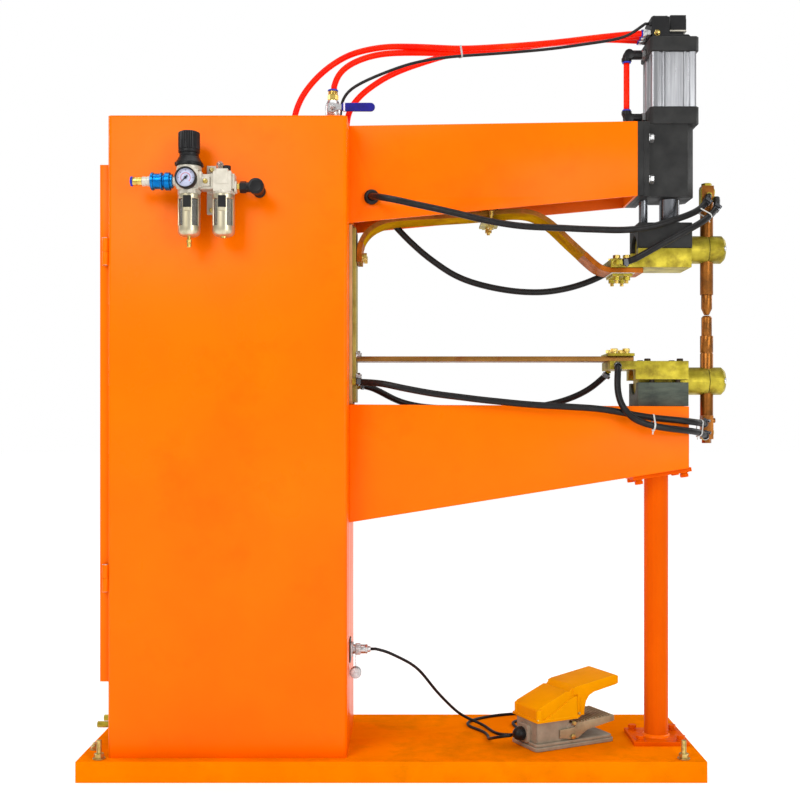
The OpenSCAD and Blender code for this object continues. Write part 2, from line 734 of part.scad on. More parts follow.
module conductor_clamps() {
    color(brass) {
        block(432, 486, mid_y - 40, mid_y + 40, 817, 823);
        for (y = [mid_y - 28, mid_y + 28], x = [447, 471]) hex_z(x, y, 823, 831, 13);
        block(181, 214, arm_y0 + arm_t, arm_y1 - arm_t, 1112, 1116);
        block(181, 214, mid_y - 40, mid_y + 40, 1084, 1088);
        for (y = [mid_y - 46, mid_y + 46]) block(190, 206, y - 4, y + 4, 1080, 1112);
        for (y = [mid_y - 30, mid_y + 30]) hex_z(198, y, 1076, 1084, 13);
        for (y = [mid_y - 24, mid_y + 24]) hex_x(-61, -54, y, 1018, 13);
    }
}
module lower_hoses() {
    color(black) for (r = lower_routes) tube(r, water_d);
}
// The frame of the foot pedal: x along its length, y across, z up from the base.
module in_pedal() {
    translate([pedal_x, pedal_y, base_h]) rotate([0, 0, pedal_turn]) children();
}
module rubber_glands() {
    color(black) {
        translate([-40, arm_y0 - 8, 1129]) rotate([-90, 0, 0]) difference() {
            cylinder(h = 8, r = 15);
            translate([0, 0, -1]) cylinder(h = 10, r = water_d / 2);
        }
        block(cab_x1, cab_x1 + 2.5, -70, -34, 206, 252);
        in_pedal() rod_x(-116, -95, 0, 28, 13);
    }
}

// ---------- moving head ----------

module ram_rods() {
    piston_z = low_cap_z1 + 1;
    color(silver) {
        rod_z(ram_x, mid_y, block_top, piston_z, ram_d / 2);
        rod_z(ram_x, mid_y, piston_z, piston_z + 20, bore_d / 2 - slide_gap);
        rod_z(guide_x, mid_y, block_top, guide_top, guide_d / 2);
    }
}
module head_block() {
    color(black) difference() {
        block(492, 600, mid_y - 45, mid_y + 45, split_z + 0.5, block_top);
        rod_x(480, 610, mid_y, upper_bar_z, bar_d / 2 + grip);
    }
}
module upper_block() {
    color(brass) {
        difference() {
            union() {
                block(491, 598, block_y0, block_y1, upper_block_z0, split_z);
                block(437, 491, block_y0, block_y1, upper_block_z0, upper_block_z0 + lug_t);
            }
            rod_x(480, 610, mid_y, upper_bar_z, bar_d / 2 + grip);
        }
        block(442, 482, mid_y - 38, mid_y + 38, 978, 984);
        for (y = [mid_y - 26, mid_y + 26], x = [452, 472]) hex_z(x, y, 970, 978, 13);
    }
}
module upper_bar() {
    split_bar(500, upper_bar_z);
}
module upper_holder() {
    z0 = tip_z + tip_gap + 41;
    color(copper) {
        rod_z(electrode_x, mid_y, z0, 1130, holder_d / 2);
        block(electrode_x - 12, electrode_x + 12, mid_y - 12, mid_y + 12, 1130, 1164);
    }
}
module upper_tip() {
    z0 = tip_z + tip_gap;
    color(copper) {
        translate([electrode_x, mid_y, z0]) cylinder(h = 13, r1 = 5, r2 = 10.9);
        rod_z(electrode_x, mid_y, z0 + 13, z0 + 41, 10.9);
    }
}
module head_hose() {
    color(black) tube(head_hose_route, water_d);
}
module laminated_strap() {
    color(copper) slab_y(band(strap_route, strap_t), mid_y - strap_w / 2, mid_y + strap_w / 2);
}
module upper_hoses() {
    color(black) for (r = upper_routes) tube(r, water_d);
}

// ---------- air unit ----------

module frl_body() {
    w = 21;
    color(silver) {
        block(filter_x - w, filter_x + w, frl_y - w, frl_y + w, 1113, 1163);
        rod_z(filter_x, frl_y, 1163, 1184, 19);
        block(oiler_x - w, oiler_x + w, frl_y - w, frl_y + w, 1113, 1163);
        rod_z(oiler_x, frl_y, 1163, 1174, 12);
        block(filter_x + w, oiler_x - w, frl_y - 12, frl_y + w, 1118, 1158);
        block(filter_x + w + 5, oiler_x - w - 5, frl_y + w, cab_y0, 1085, 1172);
    }
}
module regulator_knob() {
    color(black) rod_z(filter_x, frl_y, 1184.3, 1231, 19.5);
}
module pressure_gauge() {
    y0 = frl_y - 21;
    color("white") {
        difference() {
            rod_y(filter_x, y0 - 20, y0 - 4, inlet_z, gauge_r);
            rod_y(filter_x, y0 - 21, y0 - 14, inlet_z, gauge_r - 2.5);
        }
        rod_y(filter_x, y0 - 4, y0, inlet_z, 6);
        rod_y(filter_x, y0 - 17.5, y0 - 14, inlet_z, 1);
    }
}
module gauge_needle() {
    y0 = frl_y - 21;
    color(black) difference() {
        union() {
            rod_y(filter_x, y0 - 17, y0 - 15.5, inlet_z, 2.5);
            translate([filter_x, 0, inlet_z]) rotate([0, 45, 0])
                block(-14, 5, y0 - 17, y0 - 15.5, -0.9, 0.9);
        }
        rod_y(filter_x, y0 - 18, y0 - 13, inlet_z, 1.05);
    }
}
module filter_bowls() {
    color([0.80, 0.74, 0.62]) for (x = [filter_x, oiler_x]) {
        rod_z(x, frl_y, 1042, 1113, 21);
        translate([x, frl_y, 1034]) cylinder(h = 8, r1 = 13, r2 = 21);
        rod_z(x, frl_y, x == filter_x ? 1013 : 1026, 1034, 5);
    }
}
module frl_fittings() {
    color(silver) {
        rod_x(-425, -409, frl_y, inlet_z, 17);
        rod_x(-409, filter_x - 21, frl_y, inlet_z, 9);
        rod_x(-456, -425, frl_y, inlet_z, 12);
        rod_x(-476, -456, frl_y, inlet_z, 6);
        rod_x(-490, -476, frl_y, inlet_z, 8.5);
    }
    color(black) {
        hex_x(oiler_x + 21, oiler_x + 31, frl_y, 1127, 20);
        rod_x(oiler_x + 31, -253, frl_y, 1127, 8);
        translate([-253, frl_y, 1127]) sphere(r = 15);
        rod_y(-253, frl_y, cab_y0, 1127, 9);
    }
}
module coupler_sleeve() {
    color("steelblue") difference() {
        rod_x(-452, -429, frl_y, inlet_z, 17);
        rod_x(-460, -420, frl_y, inlet_z, 12.05);
    }
}

// ---------- foot pedal ----------

module pedal_socket() {
    color(silver) {
        rod_x(cab_x1 + 2.5, cab_x1 + 14, -52, 230, 12);
        rod_x(cab_x1 + 14, cab_x1 + 34, -52, 230, 9);
        rod_x(cab_x1 + 34, cab_x1 + 42, -52, 230, 6);
        rod_y(cab_x1 + 12, -66, -48, 184, 11);
        block(cab_x1 + 10.5, cab_x1 + 13.5, -58, -56, 195, 219);
    }
}
module pedal_base() {
    half_l = pedal_l / 2;
    half_w = pedal_w / 2;
    color("gray") in_pedal() {
        block(-half_l, half_l, -half_w, half_w, 0, 14);
        difference() {
            block(-86, -8, -37, 37, 14, 56);
            block(-82, -12, -33, 33, 13.9, 60);
        }
        block(-95, -86, -17, 17, 12, 46);
        for (s = [-1, 1]) rod_y(pivot_x, min(s * 36, s * 46), max(s * 36, s * 46), pivot_z, pivot_r);
        for (s = [-1, 1]) block(-14, 0, min(s * 33, s * 38), max(s * 33, s * 38), 14, 50);
        block(-60, -34, -14, 14, 14, 34);
    }
}
module pedal_guard() {
    hump = [[-87, 56], [-87, 78], [-82, 84], [-19, 110.5], [-12, 109.5], [-5, 116.5], [18, 119], [18, 60], [4, 56]];
    visor = [[-5, 104], [-5, 116.5], [4, 119.5], [97, 134], [103, 131], [103, 117], [97, 114.5], [44, 105], [32, 99],
             [25, 89], [21, 74], [20, 62], [12, 62], [12, 98], [6, 104]];
    pad = [[-70, 56], [-70, 62], [-60, 66], [-6, 99], [3, 101], [3, 56]];
    under = [[-84, 50], [-84, 77], [-80, 81], [-18, 107], [-10, 106], [-3, 113], [6, 116], [20, 118], [20, 50]];
    mouth = [[16, 50], [16, 117.5], [98, 130.5], [110, 131], [110, 50]];
    color([1.0, 0.65, 0.0]) in_pedal() difference() {
        union() {
            slab_y(hump, -42, 42);
            slab_y(visor, -46, 46);
            slab_y(pad, -45.5, 45.5);
            block(-90, 6, -46, 46, 56, 61);
            for (s = [-1, 1]) {
                rod_z(-82, s * 39, 58, 80, 6.5);
                rod_z(8.5, s * 41.5, 58, 106, 4.5);
            }
        }
        slab_y(under, -39, 39);
        slab_y(mouth, -43, 43);
    }
}
module pedal_treadle() {
    side = [[-34, 20], [-34, 36], [0, 38], [5, 46], [96, 52], [96, 41], [30, 30], [8, 16.5],
            [-12, 15.4], [-18, 18]];
    color([0.55, 0.50, 0.40]) in_pedal() difference() {
        union() {
            slab_y([[5, 38], [96, 45], [96, 52], [5, 46]], -42.5, 42.5);
            for (y = [-42.5, 39]) slab_y(side, y, y + 3.5);
        }
        for (s = [-1, 1]) rod_y(pivot_x, min(s * 36, s * 48), max(s * 36, s * 48), pivot_z, pivot_r + slide_gap);
    }
}
module pedal_cord() {
    color(black) tube(pedal_route, cord_d);
}

base_plate();
base_rails();
anchor_bolts();
cabinet_front();
cabinet_rear();
cabinet_side();
door_frame();
cabinet_roof();
door();
door_lock();
upper_arm();
lower_arm();
support_column();
frame_bolts();
head_plate();
head_casting();
cylinder_caps();
cylinder_tube();
solenoid_valve();
air_fittings();
air_hoses();
air_valve_body();
valve_lever();
throat_plate();
transformer_core();
transformer_coils();
secondary_busbars();
thyristor_unit();
control_box();
water_manifold();
lower_conductor();
lower_insulator();
lower_block();
lower_bar();
lower_holder();
lower_tip();
conductor_clamps();
lower_hoses();
rubber_glands();
ram_rods();
head_block();
upper_block();
upper_bar();
upper_holder();
upper_tip();
head_hose();
laminated_strap();
upper_hoses();
frl_body();
regulator_knob();
pressure_gauge();
gauge_needle();
filter_bowls();
frl_fittings();
coupler_sleeve();
pedal_socket();
pedal_base();
pedal_guard();
pedal_treadle();
pedal_cord();
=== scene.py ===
import json
import math

import bmesh
import bpy
from mathutils import Matrix, Vector


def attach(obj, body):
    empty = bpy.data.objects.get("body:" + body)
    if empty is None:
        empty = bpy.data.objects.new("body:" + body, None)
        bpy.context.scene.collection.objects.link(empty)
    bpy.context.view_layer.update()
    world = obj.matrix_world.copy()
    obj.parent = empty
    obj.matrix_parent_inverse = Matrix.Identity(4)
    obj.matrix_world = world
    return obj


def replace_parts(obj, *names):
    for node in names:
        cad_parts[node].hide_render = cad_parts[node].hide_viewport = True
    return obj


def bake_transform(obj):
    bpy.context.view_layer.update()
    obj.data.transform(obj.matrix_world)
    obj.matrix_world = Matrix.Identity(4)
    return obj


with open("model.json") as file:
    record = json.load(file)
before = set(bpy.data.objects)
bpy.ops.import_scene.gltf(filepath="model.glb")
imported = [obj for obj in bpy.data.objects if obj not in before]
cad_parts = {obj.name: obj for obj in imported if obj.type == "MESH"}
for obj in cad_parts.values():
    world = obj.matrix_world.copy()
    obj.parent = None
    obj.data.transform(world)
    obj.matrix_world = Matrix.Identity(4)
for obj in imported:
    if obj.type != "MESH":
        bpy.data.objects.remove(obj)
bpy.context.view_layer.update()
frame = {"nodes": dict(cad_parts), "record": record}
record = frame["record"]
MM = 0.001

# ---------- camera ----------

LENS, SENSOR = 51.75, 36.0
EYE = (0.0279, -2.358, 0.693)

camera_data = bpy.data.cameras.new("camera")
camera_data.lens = LENS
camera_data.sensor_width = SENSOR
camera_data.shift_x = -0.0075
camera_data.shift_y = 0.0225
camera = bpy.data.objects.new("camera", camera_data)
camera.location = EYE
camera.rotation_euler = (math.pi / 2, 0, 0)
bpy.context.scene.collection.objects.link(camera)
bpy.context.scene.camera = camera


# ---------- materials ----------

def rgb(r, g, b):
    """A screen colour, 0 to 255, as the linear colour that a shader takes."""
    return tuple(c / 255 / 12.92 if c < 11 else ((c / 255 + 0.055) / 1.055) ** 2.4 for c in (r, g, b)) + (1,)


class Nodes:
    """A material's node tree with short ways to add what the finishes here use."""

    def __init__(self, name):
        self.material = bpy.data.materials.new(name)
        self.material.use_nodes = True
        self.tree = self.material.node_tree
        self.shader = self.tree.nodes["Principled BSDF"]
        self.place = self.tree.nodes.new("ShaderNodeTexCoord").outputs["Object"]

    def link(self, a, b):
        self.tree.links.new(a, b)

    def add(self, kind, **values):
        """A new node, each input given as a number or as another node's output."""
        node = self.tree.nodes.new("ShaderNode" + kind)
        for name, value in values.items():
            socket = node.inputs[name.replace("_", " ")]
            if isinstance(value, bpy.types.NodeSocket):
                self.link(value, socket)
            else:
                socket.default_value = value
        return node

    def noise(self, scale, detail=4, stretch=None, rough=0.55):
        place = self.add("Mapping", Vector=self.place, Scale=stretch).outputs["Vector"] if stretch else self.place
        return self.add("TexNoise", Vector=place, Scale=scale, Detail=detail, Roughness=rough).outputs["Fac"]

    def ramp(self, value, low, high, a=0.0, b=1.0):
        return self.add("MapRange", Value=value, From_Min=low, From_Max=high, To_Min=a, To_Max=b).outputs["Result"]

    def blend(self, value, a, b):
        node = self.tree.nodes.new("ShaderNodeMix")
        node.data_type = "RGBA"
        self.link(value, node.inputs["Factor"])
        for socket, colour in ((node.inputs[6], a), (node.inputs[7], b)):
            if isinstance(colour, tuple):
                socket.default_value = colour
            else:
                self.link(colour, socket)
        return node.outputs[2]

    def bump(self, height, strength, distance):
        return self.add("Bump", Height=height, Strength=strength, Distance=distance).outputs["Normal"]

    def edges(self, width):
        """About 1 on convex edges within that width, and 0 on flat faces."""
        soft = self.add("Bevel", Radius=width)
        soft.samples = 4
        flat = self.add("NewGeometry")
        dot = self.add("VectorMath")
        dot.operation = "DOT_PRODUCT"
        self.link(soft.outputs["Normal"], dot.inputs[0])
        self.link(flat.outputs["Normal"], dot.inputs[1])
        return self.ramp(dot.outputs["Value"], 0.96, 0.80)


FINISH = {}


def finish(name, dark, light, rough=(0.4, 0.5), metal=0.0, patch=14, grain=600, bump=0.1, depth=0.0004, stretch=None,
           stain=None, stain_at=(0.5, 0.7), stain_scale=9, edge_wear_and_highlight=None, edge_wear_and_highlight_width=0.0012, specular=0.22, clear=0.0):
    """Adds a finish: two tones in soft patches, a fine grain, and where asked for stains and lighter convex edges,
    partly wear and partly a painted highlight.
    """
    n = Nodes(name)
    s = n.shader
    s.inputs["Metallic"].default_value = metal
    s.inputs["Specular IOR Level"].default_value = specular
    s.inputs["Transmission Weight"].default_value = clear
    patches = n.noise(patch, 6, stretch)
    fine = n.noise(grain, 3, stretch)
    colour = n.blend(n.ramp(patches, 0.32, 0.68), rgb(*dark), rgb(*light))
    roughness = n.ramp(patches, 0.3, 0.7, rough[1], rough[0])
    if stain:
        spots = n.noise(stain_scale, 9, None, 0.65)
        colour = n.blend(n.ramp(spots, *stain_at), colour, rgb(*stain))
    # Lighter colour on convex edges: partly edge wear, partly a painted highlight where light catches the edges.
    if edge_wear_and_highlight:
        colour = n.blend(n.edges(edge_wear_and_highlight_width), colour, rgb(*edge_wear_and_highlight))
    n.link(colour, s.inputs["Base Color"])
    n.link(roughness, s.inputs["Roughness"])
    n.link(n.bump(fine, bump, depth), s.inputs["Normal"])
    FINISH[name] = n.material


finish("orange_paint", (240, 102, 0), (249, 112, 0), (0.26, 0.32), patch=3.5, grain=340, bump=0.05,
       depth=0.0005, specular=0.06, stain=(232, 94, 0), stain_at=(0.55, 0.85), stain_scale=5,
       edge_wear_and_highlight=(255, 136, 16))
# A darker copy of orange_paint for the support column and its foot bolts: painted shade.
finish("shaded_column_paint", (210, 82, 0), (226, 94, 0), (0.30, 0.38), patch=7, grain=340, bump=0.06, depth=0.0005,
       specular=0.02, stretch=(1, 1, 0.3), stain=(212, 80, 0), stain_at=(0.5, 0.8), stain_scale=8,
       edge_wear_and_highlight=(246, 116, 10))
finish("base_paint", (230, 116, 0), (244, 128, 0), (0.42, 0.56), patch=6, grain=300, bump=0.08, depth=0.0006,
       specular=0.0, stain=(196, 106, 2), stain_at=(0.48, 0.80), stain_scale=11, edge_wear_and_highlight=(255, 136, 16),
       edge_wear_and_highlight_width=0.0015)
finish("black_paint", (30, 30, 30), (42, 42, 41), (0.5, 0.64), patch=30, grain=900, bump=0.45, depth=0.0006,
       edge_wear_and_highlight=(88, 88, 86), edge_wear_and_highlight_width=0.0009)
finish("zinc_yellow", (170, 146, 78), (208, 188, 120), (0.3, 0.42), 0.9, patch=120, grain=900, bump=0.08,
       stain=(150, 104, 60), stain_at=(0.58, 0.8), stain_scale=90)
finish("steel", (172, 172, 172), (214, 214, 214), (0.24, 0.36), 0.95, patch=150, grain=1200, bump=0.06,
       stain=(128, 122, 112), stain_at=(0.62, 0.85), stain_scale=120)
finish("chrome_rod", (88, 90, 94), (120, 122, 126), (0.2, 0.28), 0.9, patch=40, grain=900, bump=0.02,
       stretch=(1, 1, 0.05))
finish("profile_aluminium", (138, 139, 142), (168, 169, 172), (0.26, 0.38), 0.9, patch=200, grain=900,
       depth=0.0002, stretch=(1, 1, 0.04))
finish("brass", (140, 126, 28), (184, 168, 54), (0.36, 0.52), 0.6, patch=36, grain=500, depth=0.0003,
       stain=(104, 88, 28), stain_at=(0.46, 0.72), stain_scale=34, edge_wear_and_highlight=(206, 194, 104))
finish("bright_brass", (190, 160, 74), (228, 204, 122), (0.22, 0.32), 0.92, patch=120, grain=900, bump=0.05,
       stain=(150, 122, 60), stain_at=(0.6, 0.85), stain_scale=90)
finish("copper", (112, 66, 22), (158, 98, 38), (0.30, 0.44), 0.8, patch=40, grain=700, bump=0.08, depth=0.0003,
       stretch=(1, 1, 0.35), stain=(88, 56, 26), stain_at=(0.48, 0.76), stain_scale=46, edge_wear_and_highlight=(206, 140, 88))
finish("aged_copper", (104, 72, 28), (148, 104, 50), (0.34, 0.5), 0.7, patch=30, grain=700, bump=0.08,
       stretch=(0.3, 1, 1), stain=(120, 62, 28), stain_at=(0.5, 0.74), stain_scale=26, edge_wear_and_highlight=(190, 150, 84))
finish("core_steel", (66, 66, 70), (92, 92, 96), (0.5, 0.62), 0.5, patch=40, grain=700, bump=0.3,
       stretch=(1, 12, 1))
finish("insulator", (50, 58, 52), (84, 92, 80), (0.5, 0.62), patch=44, grain=700, bump=0.2,
       stretch=(0.4, 0.4, 1.6), stain=(40, 44, 44), stain_at=(0.5, 0.8), stain_scale=30)
finish("throat_sheet", (150, 134, 60), (186, 168, 88), (0.4, 0.52), 0.6, patch=26, bump=0.08,
       stain=(124, 104, 50), stain_at=(0.5, 0.8), stain_scale=18)
finish("black_plastic", (16, 16, 17), (26, 26, 27), (0.34, 0.44), patch=60, grain=1600, bump=0.12, depth=0.0003,
       edge_wear_and_highlight=(64, 64, 66), edge_wear_and_highlight_width=0.0006)
finish("gauge_case", (168, 172, 176), (200, 204, 208), (0.2, 0.3), 0.7, patch=120, grain=900, bump=0.03)
finish("needle_paint", (16, 16, 18), (30, 30, 32), (0.35, 0.45), patch=300, grain=2000, bump=0.05)
finish("bowl_guard", (176, 166, 136), (212, 204, 178), (0.26, 0.36), 0.8, patch=90, grain=1200, bump=0.06,
       stretch=(1, 1, 0.1), edge_wear_and_highlight=(232, 226, 204), edge_wear_and_highlight_width=0.0008)
finish("blue_anodised", (0, 92, 160), (10, 122, 196), (0.24, 0.34), 0.8, patch=100, grain=1200, bump=0.06,
       edge_wear_and_highlight=(90, 180, 226), edge_wear_and_highlight_width=0.0008)
finish("lever_blue", (22, 20, 104), (34, 30, 134), (0.26, 0.36), patch=80, grain=900, bump=0.08)
finish("red_hose", (240, 16, 0), (252, 38, 0), (0.26, 0.36), patch=20, grain=500, bump=0.03, specular=0.08,
       stain=(255, 70, 0), stain_at=(0.58, 0.8), stain_scale=7)
finish("black_rubber", (15, 14, 14), (27, 26, 26), (0.32, 0.48), patch=90, grain=520, bump=0.22, depth=0.0005,
       stain=(48, 46, 44), stain_at=(0.62, 0.86), stain_scale=120)
finish("box_grey", (150, 152, 154), (172, 174, 176), (0.4, 0.5), patch=20, grain=500, bump=0.08)
finish("pedal_grey", (138, 126, 108), (156, 144, 124), (0.42, 0.56), 0.0, patch=60, grain=420, bump=0.22,
       depth=0.0005, edge_wear_and_highlight=(184, 174, 156))
finish("pedal_yellow", (220, 142, 0), (232, 152, 0), (0.32, 0.42), patch=16, grain=500, specular=0.01,
       edge_wear_and_highlight=(250, 178, 20), edge_wear_and_highlight_width=0.0018)
finish("treadle_metal", (140, 122, 92), (166, 148, 116), (0.4, 0.55), 0.1, patch=50, grain=420, bump=0.25,
       depth=0.0005, edge_wear_and_highlight=(196, 184, 156), edge_wear_and_highlight_width=0.0016)
finish("pale_metal", (182, 176, 160), (206, 200, 186), (0.34, 0.46), 0.25, patch=60, grain=900, bump=0.08,
       edge_wear_and_highlight=(230, 226, 214), edge_wear_and_highlight_width=0.0008)
finish("strap_edge", (138, 78, 24), (180, 106, 50), (0.36, 0.5), 0.1, patch=50, grain=900, bump=0.15,
       stain=(120, 92, 14), stain_at=(0.46, 0.66), specular=0.1)
finish("strap_sleeve", (140, 70, 12), (180, 100, 28), (0.36, 0.48), 0.1, specular=0.03, patch=40, grain=700,
       bump=0.08, stain=(122, 74, 28), stain_at=(0.52, 0.75), stain_scale=26, edge_wear_and_highlight=(226, 160, 100))
finish("strap_flat", (146, 104, 4), (184, 138, 12), (0.5, 0.65), 0.0, specular=0.0, patch=20, grain=700,
       stain=(132, 70, 28), stain_at=(0.5, 0.72), stain_scale=12)
finish("white_nylon", (176, 176, 172), (198, 198, 194), (0.4, 0.5), patch=120, grain=900, bump=0.08)
finish("grey_nylon", (142, 142, 142), (168, 168, 168), (0.4, 0.5), patch=120, grain=900, bump=0.08)
finish("dial_white", (176, 180, 208), (194, 198, 222), (0.3, 0.4), patch=200, grain=900, bump=0.02)
finish("dial_red", (176, 50, 44), (196, 62, 54), (0.5, 0.6), patch=200, grain=900, bump=0.02)
finish("collar_blue", (30, 40, 150), (44, 56, 178), (0.3, 0.4), patch=120, grain=900, bump=0.06)
finish("print_white", (206, 204, 220), (224, 222, 236), (0.4, 0.5), patch=120, grain=900, bump=0.04)
finish("clear_bowl", (214, 214, 206), (226, 226, 220), (0.12, 0.2), patch=60, grain=500, bump=0.04, clear=0.85)
finish("dark_inside", (40, 30, 18), (62, 48, 30), (0.5, 0.6), patch=60, grain=700)
finish("textolite", (176, 140, 92), (206, 170, 118), (0.5, 0.6), patch=60, grain=700, bump=0.15,
       stretch=(1, 1, 0.3))


# ---------- shapes ----------

def at(origin, axis=(0, 0, 1), turn=0.0):
    """Where a shape made along Z goes: its origin in millimetres, and the direction that its Z takes."""
    q = Vector((0, 0, 1)).rotation_difference(Vector(axis).normalized())
    spot = Matrix.Translation(Vector(origin) * MM)
    return spot @ q.to_matrix().to_4x4() @ spin(turn)


def polar(r, angle):
    return r * math.cos(angle), r * math.sin(angle)


def circle(r, n, h):
    return [(*polar(r, 2 * math.pi * k / n), h) for k in range(n)]


def skin(rings, n, meet=False):
    """Faces over rings of n points each: closed at both ends, or the last ring joined to the first."""
    faces = [] if meet else [tuple(range(n - 1, -1, -1)), tuple(range(rings * n - n, rings * n))]
    for i in range(rings if meet else rings - 1):
        a, b = i * n, (i + 1) % rings * n
        faces += [(a + k, a + (k + 1) % n, b + (k + 1) % n, b + k) for k in range(n)]
    return faces


def stand(name, data):
    """A new object in the scene."""
    obj = bpy.data.objects.new(name, data)
    bpy.context.scene.collection.objects.link(obj)
    return obj


def spin(angle):
    return Matrix.Rotation(angle, 4, "Z")


RIGHT, LEFT, FRONT, BACK, DOWN = (1, 0, 0), (-1, 0, 0), (0, -1, 0), (0, 1, 0), (0, 0, -1)
IN_PEDAL = Matrix.Translation(Vector((344.5, -34, 40)) * MM) @ spin(math.radians(26.4))
HERE = Matrix.Identity(4)
MID_Y = -16  # the plane of the arms and the electrodes, in millimetres as all places below
COLUMN_X, CYLINDER_X, TIP_X = 537, 564, 640


class Shape:
    """Builds one piece from closed solids, in millimetres."""

    def __init__(self, name):
        self.name = name
        self.bm = bmesh.new()
        self.index = 0

    def paint(self, index):
        self.index = index
        return self

    def add(self, points, faces, m=HERE):
        verts = [self.bm.verts.new(m @ (Vector(p) * MM)) for p in points]
        for f in faces:
            face = self.bm.faces.new([verts[i] for i in f])
            face.material_index = self.index
        return self

    def block(self, x0, x1, y0, y1, z0, z1, m=HERE):
        p = [(x, y, z) for z in (z0, z1) for x, y in ((x0, y0), (x1, y0), (x1, y1), (x0, y1))]
        return self.add(p, [(3, 2, 1, 0), (4, 5, 6, 7), (0, 1, 5, 4), (1, 2, 6, 5), (2, 3, 7, 6), (3, 0, 4, 7)], m)

    def prism(self, outline, h0, h1, m=HERE):
        """An outline in the plane, counter-clockwise, from height h0 to h1."""
        return self.add([(x, y, h) for h in (h0, h1) for x, y in outline], skin(2, len(outline)), m)

    def turned(self, profile, m=HERE, n=32):
        """A turned solid: (radius, height) down its side, from the lower end to the upper."""
        points, rings = [], []
        for r, h in profile:
            if r <= 0:
                rings.append([len(points)])
                points.append((0, 0, h))
            else:
                rings.append([len(points) + k for k in range(n)])
                points += circle(r, n, h)
        faces = []
        for a, b in zip(rings, rings[1:]):
            for k in range(n):
                j = (k + 1) % n
                if len(a) == 1 and len(b) > 1:
                    faces.append((a[0], b[j], b[k]))
                elif len(b) == 1 and len(a) > 1:
                    faces.append((a[k], a[j], b[0]))
                elif len(a) > 1:
                    faces.append((a[k], a[j], b[j], b[k]))
        if len(rings[0]) > 1:
            faces.append(tuple(reversed(rings[0])))
        if len(rings[-1]) > 1:
            faces.append(tuple(rings[-1]))
        return self.add(points, faces, m)

    def rod(self, r, h0, h1, m=HERE, n=32):
        """A plain round bar."""
        return self.turned([(0, h0), (r, h0), (r, h1), (0, h1)], m, n)

    def ring(self, inner, outer, h0, h1, m=HERE, n=32, c=0.3):
        """A turned ring with small chamfers."""
        return self.collar([(inner, h0), (outer - c, h0), (outer, h0 + c), (outer, h1 - c), (outer - c, h1),
                            (inner, h1)], m, n)

    def collar(self, loop, m=HERE, n=32):
        """A turned solid with a hole through it: a closed loop of (radius, height)."""
        return self.add([p for r, h in loop for p in circle(r, n, h)], skin(len(loop), n, True), m)

    def hexagon(self, flats, h0, h1, m=HERE):
        """A bolt head or nut, its corners chamfered by a cone as on the real thing."""
        r = flats / math.sqrt(3)
        c = 0.10 * flats
        profile = [(r - c * 0.55, h0), (r, h0 + c * 0.35), (r, h1 - c * 0.35), (r - c * 0.55, h1)]
        return self.add([p for radius, h in profile for p in circle(radius, 6, h)], skin(4, 6), m)

    def thread(self, r, h0, h1, m=HERE, pitch=1.5):
        """A threaded end as a stack of small ridges, with a chamfered tip."""
        profile = [(0, h0), (r, h0)]
        h = h0
        while h + pitch < h1 - 1:
            profile += [(r, h + pitch * 0.25), (r - 0.45, h + pitch * 0.62), (r, h + pitch)]
            h += pitch
        profile += [(r, h1 - 1), (r - 0.9, h1), (0, h1)]
        return self.turned(profile, m, 20)

    def bolt(self, m, flats=13, washer=8.0, thick=1.8, height=None, tip=0.0, spring=True):
        """A hexagon bolt on its washer, with a spring washer between them where asked for."""
        h = height or flats * 0.55
        low = thick + (1.4 if spring else 0)
        rim = washer - 0.3
        self.turned([(0, 0), (rim, 0), (washer, 0.3), (washer, thick - 0.3), (rim, thick), (0, thick)], m, 28)
        if spring:
            self.turned([(0, thick), (washer * 0.72, thick), (washer * 0.72, low), (0, low)], m, 24)
        self.hexagon(flats, low, low + h, m)
        if tip:
            self.thread(flats * 0.29, low + h - 0.2, low + h + tip, m)
        return self

    def sweep(self, path, r, m=HERE, n=12):
        """A round bar along a path given in millimetres."""
        rings = round_rings([Vector(p) * MM for p in path], r * MM, n)
        points = [p / MM for ring in rings for p in ring]
        return self.add(points, skin(len(rings), n), m)

    def done(self, slot, body="frame", bevel=0.0, finishes=None, sharp=35, segments=2):
        """Makes the object, rounds its edges and lets it ride on its body."""
        bmesh.ops.recalc_face_normals(self.bm, faces=self.bm.faces)
        for f in self.bm.faces:
            f.smooth = True
        for e in self.bm.edges:
            if e.calc_face_angle(0.0) > math.radians(sharp):
                e.smooth = False
        mesh = bpy.data.meshes.new(self.name)
        self.bm.to_mesh(mesh)
        self.bm.free()
        for finish in finishes or [slot]:
            mesh.materials.append(FINISH[finish])
        obj = stand(self.name, mesh)
        if bevel:
            round_edges(obj, bevel, segments, sharp)
        if body:
            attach(obj, body)
        return obj


def round_edges(obj, width, segments=2, sharp=35):
    """Rounds an object's sharp edges without changing its mesh."""
    b = obj.modifiers.new("rounded", "BEVEL")
    b.width = width * MM
    b.segments = segments
    b.limit_method = "ANGLE"
    b.angle_limit = math.radians(sharp)
    b.use_clamp_overlap = True
    b.harden_normals = True


def round_rings(path, r, n):
    """Rings of points round a path, without twist."""
    last = len(path) - 1
    tangents = [(path[min(i + 1, last)] - path[max(i - 1, 0)]).normalized() for i in range(last + 1)]
    side = tangents[0].orthogonal().normalized()
    rings = []
    for p, t in zip(path, tangents):
        side = (side - side.dot(t) * t).normalized()
        up = t.cross(side)
        rings.append([p + r * (math.cos(2 * math.pi * k / n) * side + math.sin(2 * math.pi * k / n) * up)
                      for k in range(n)])
    return rings


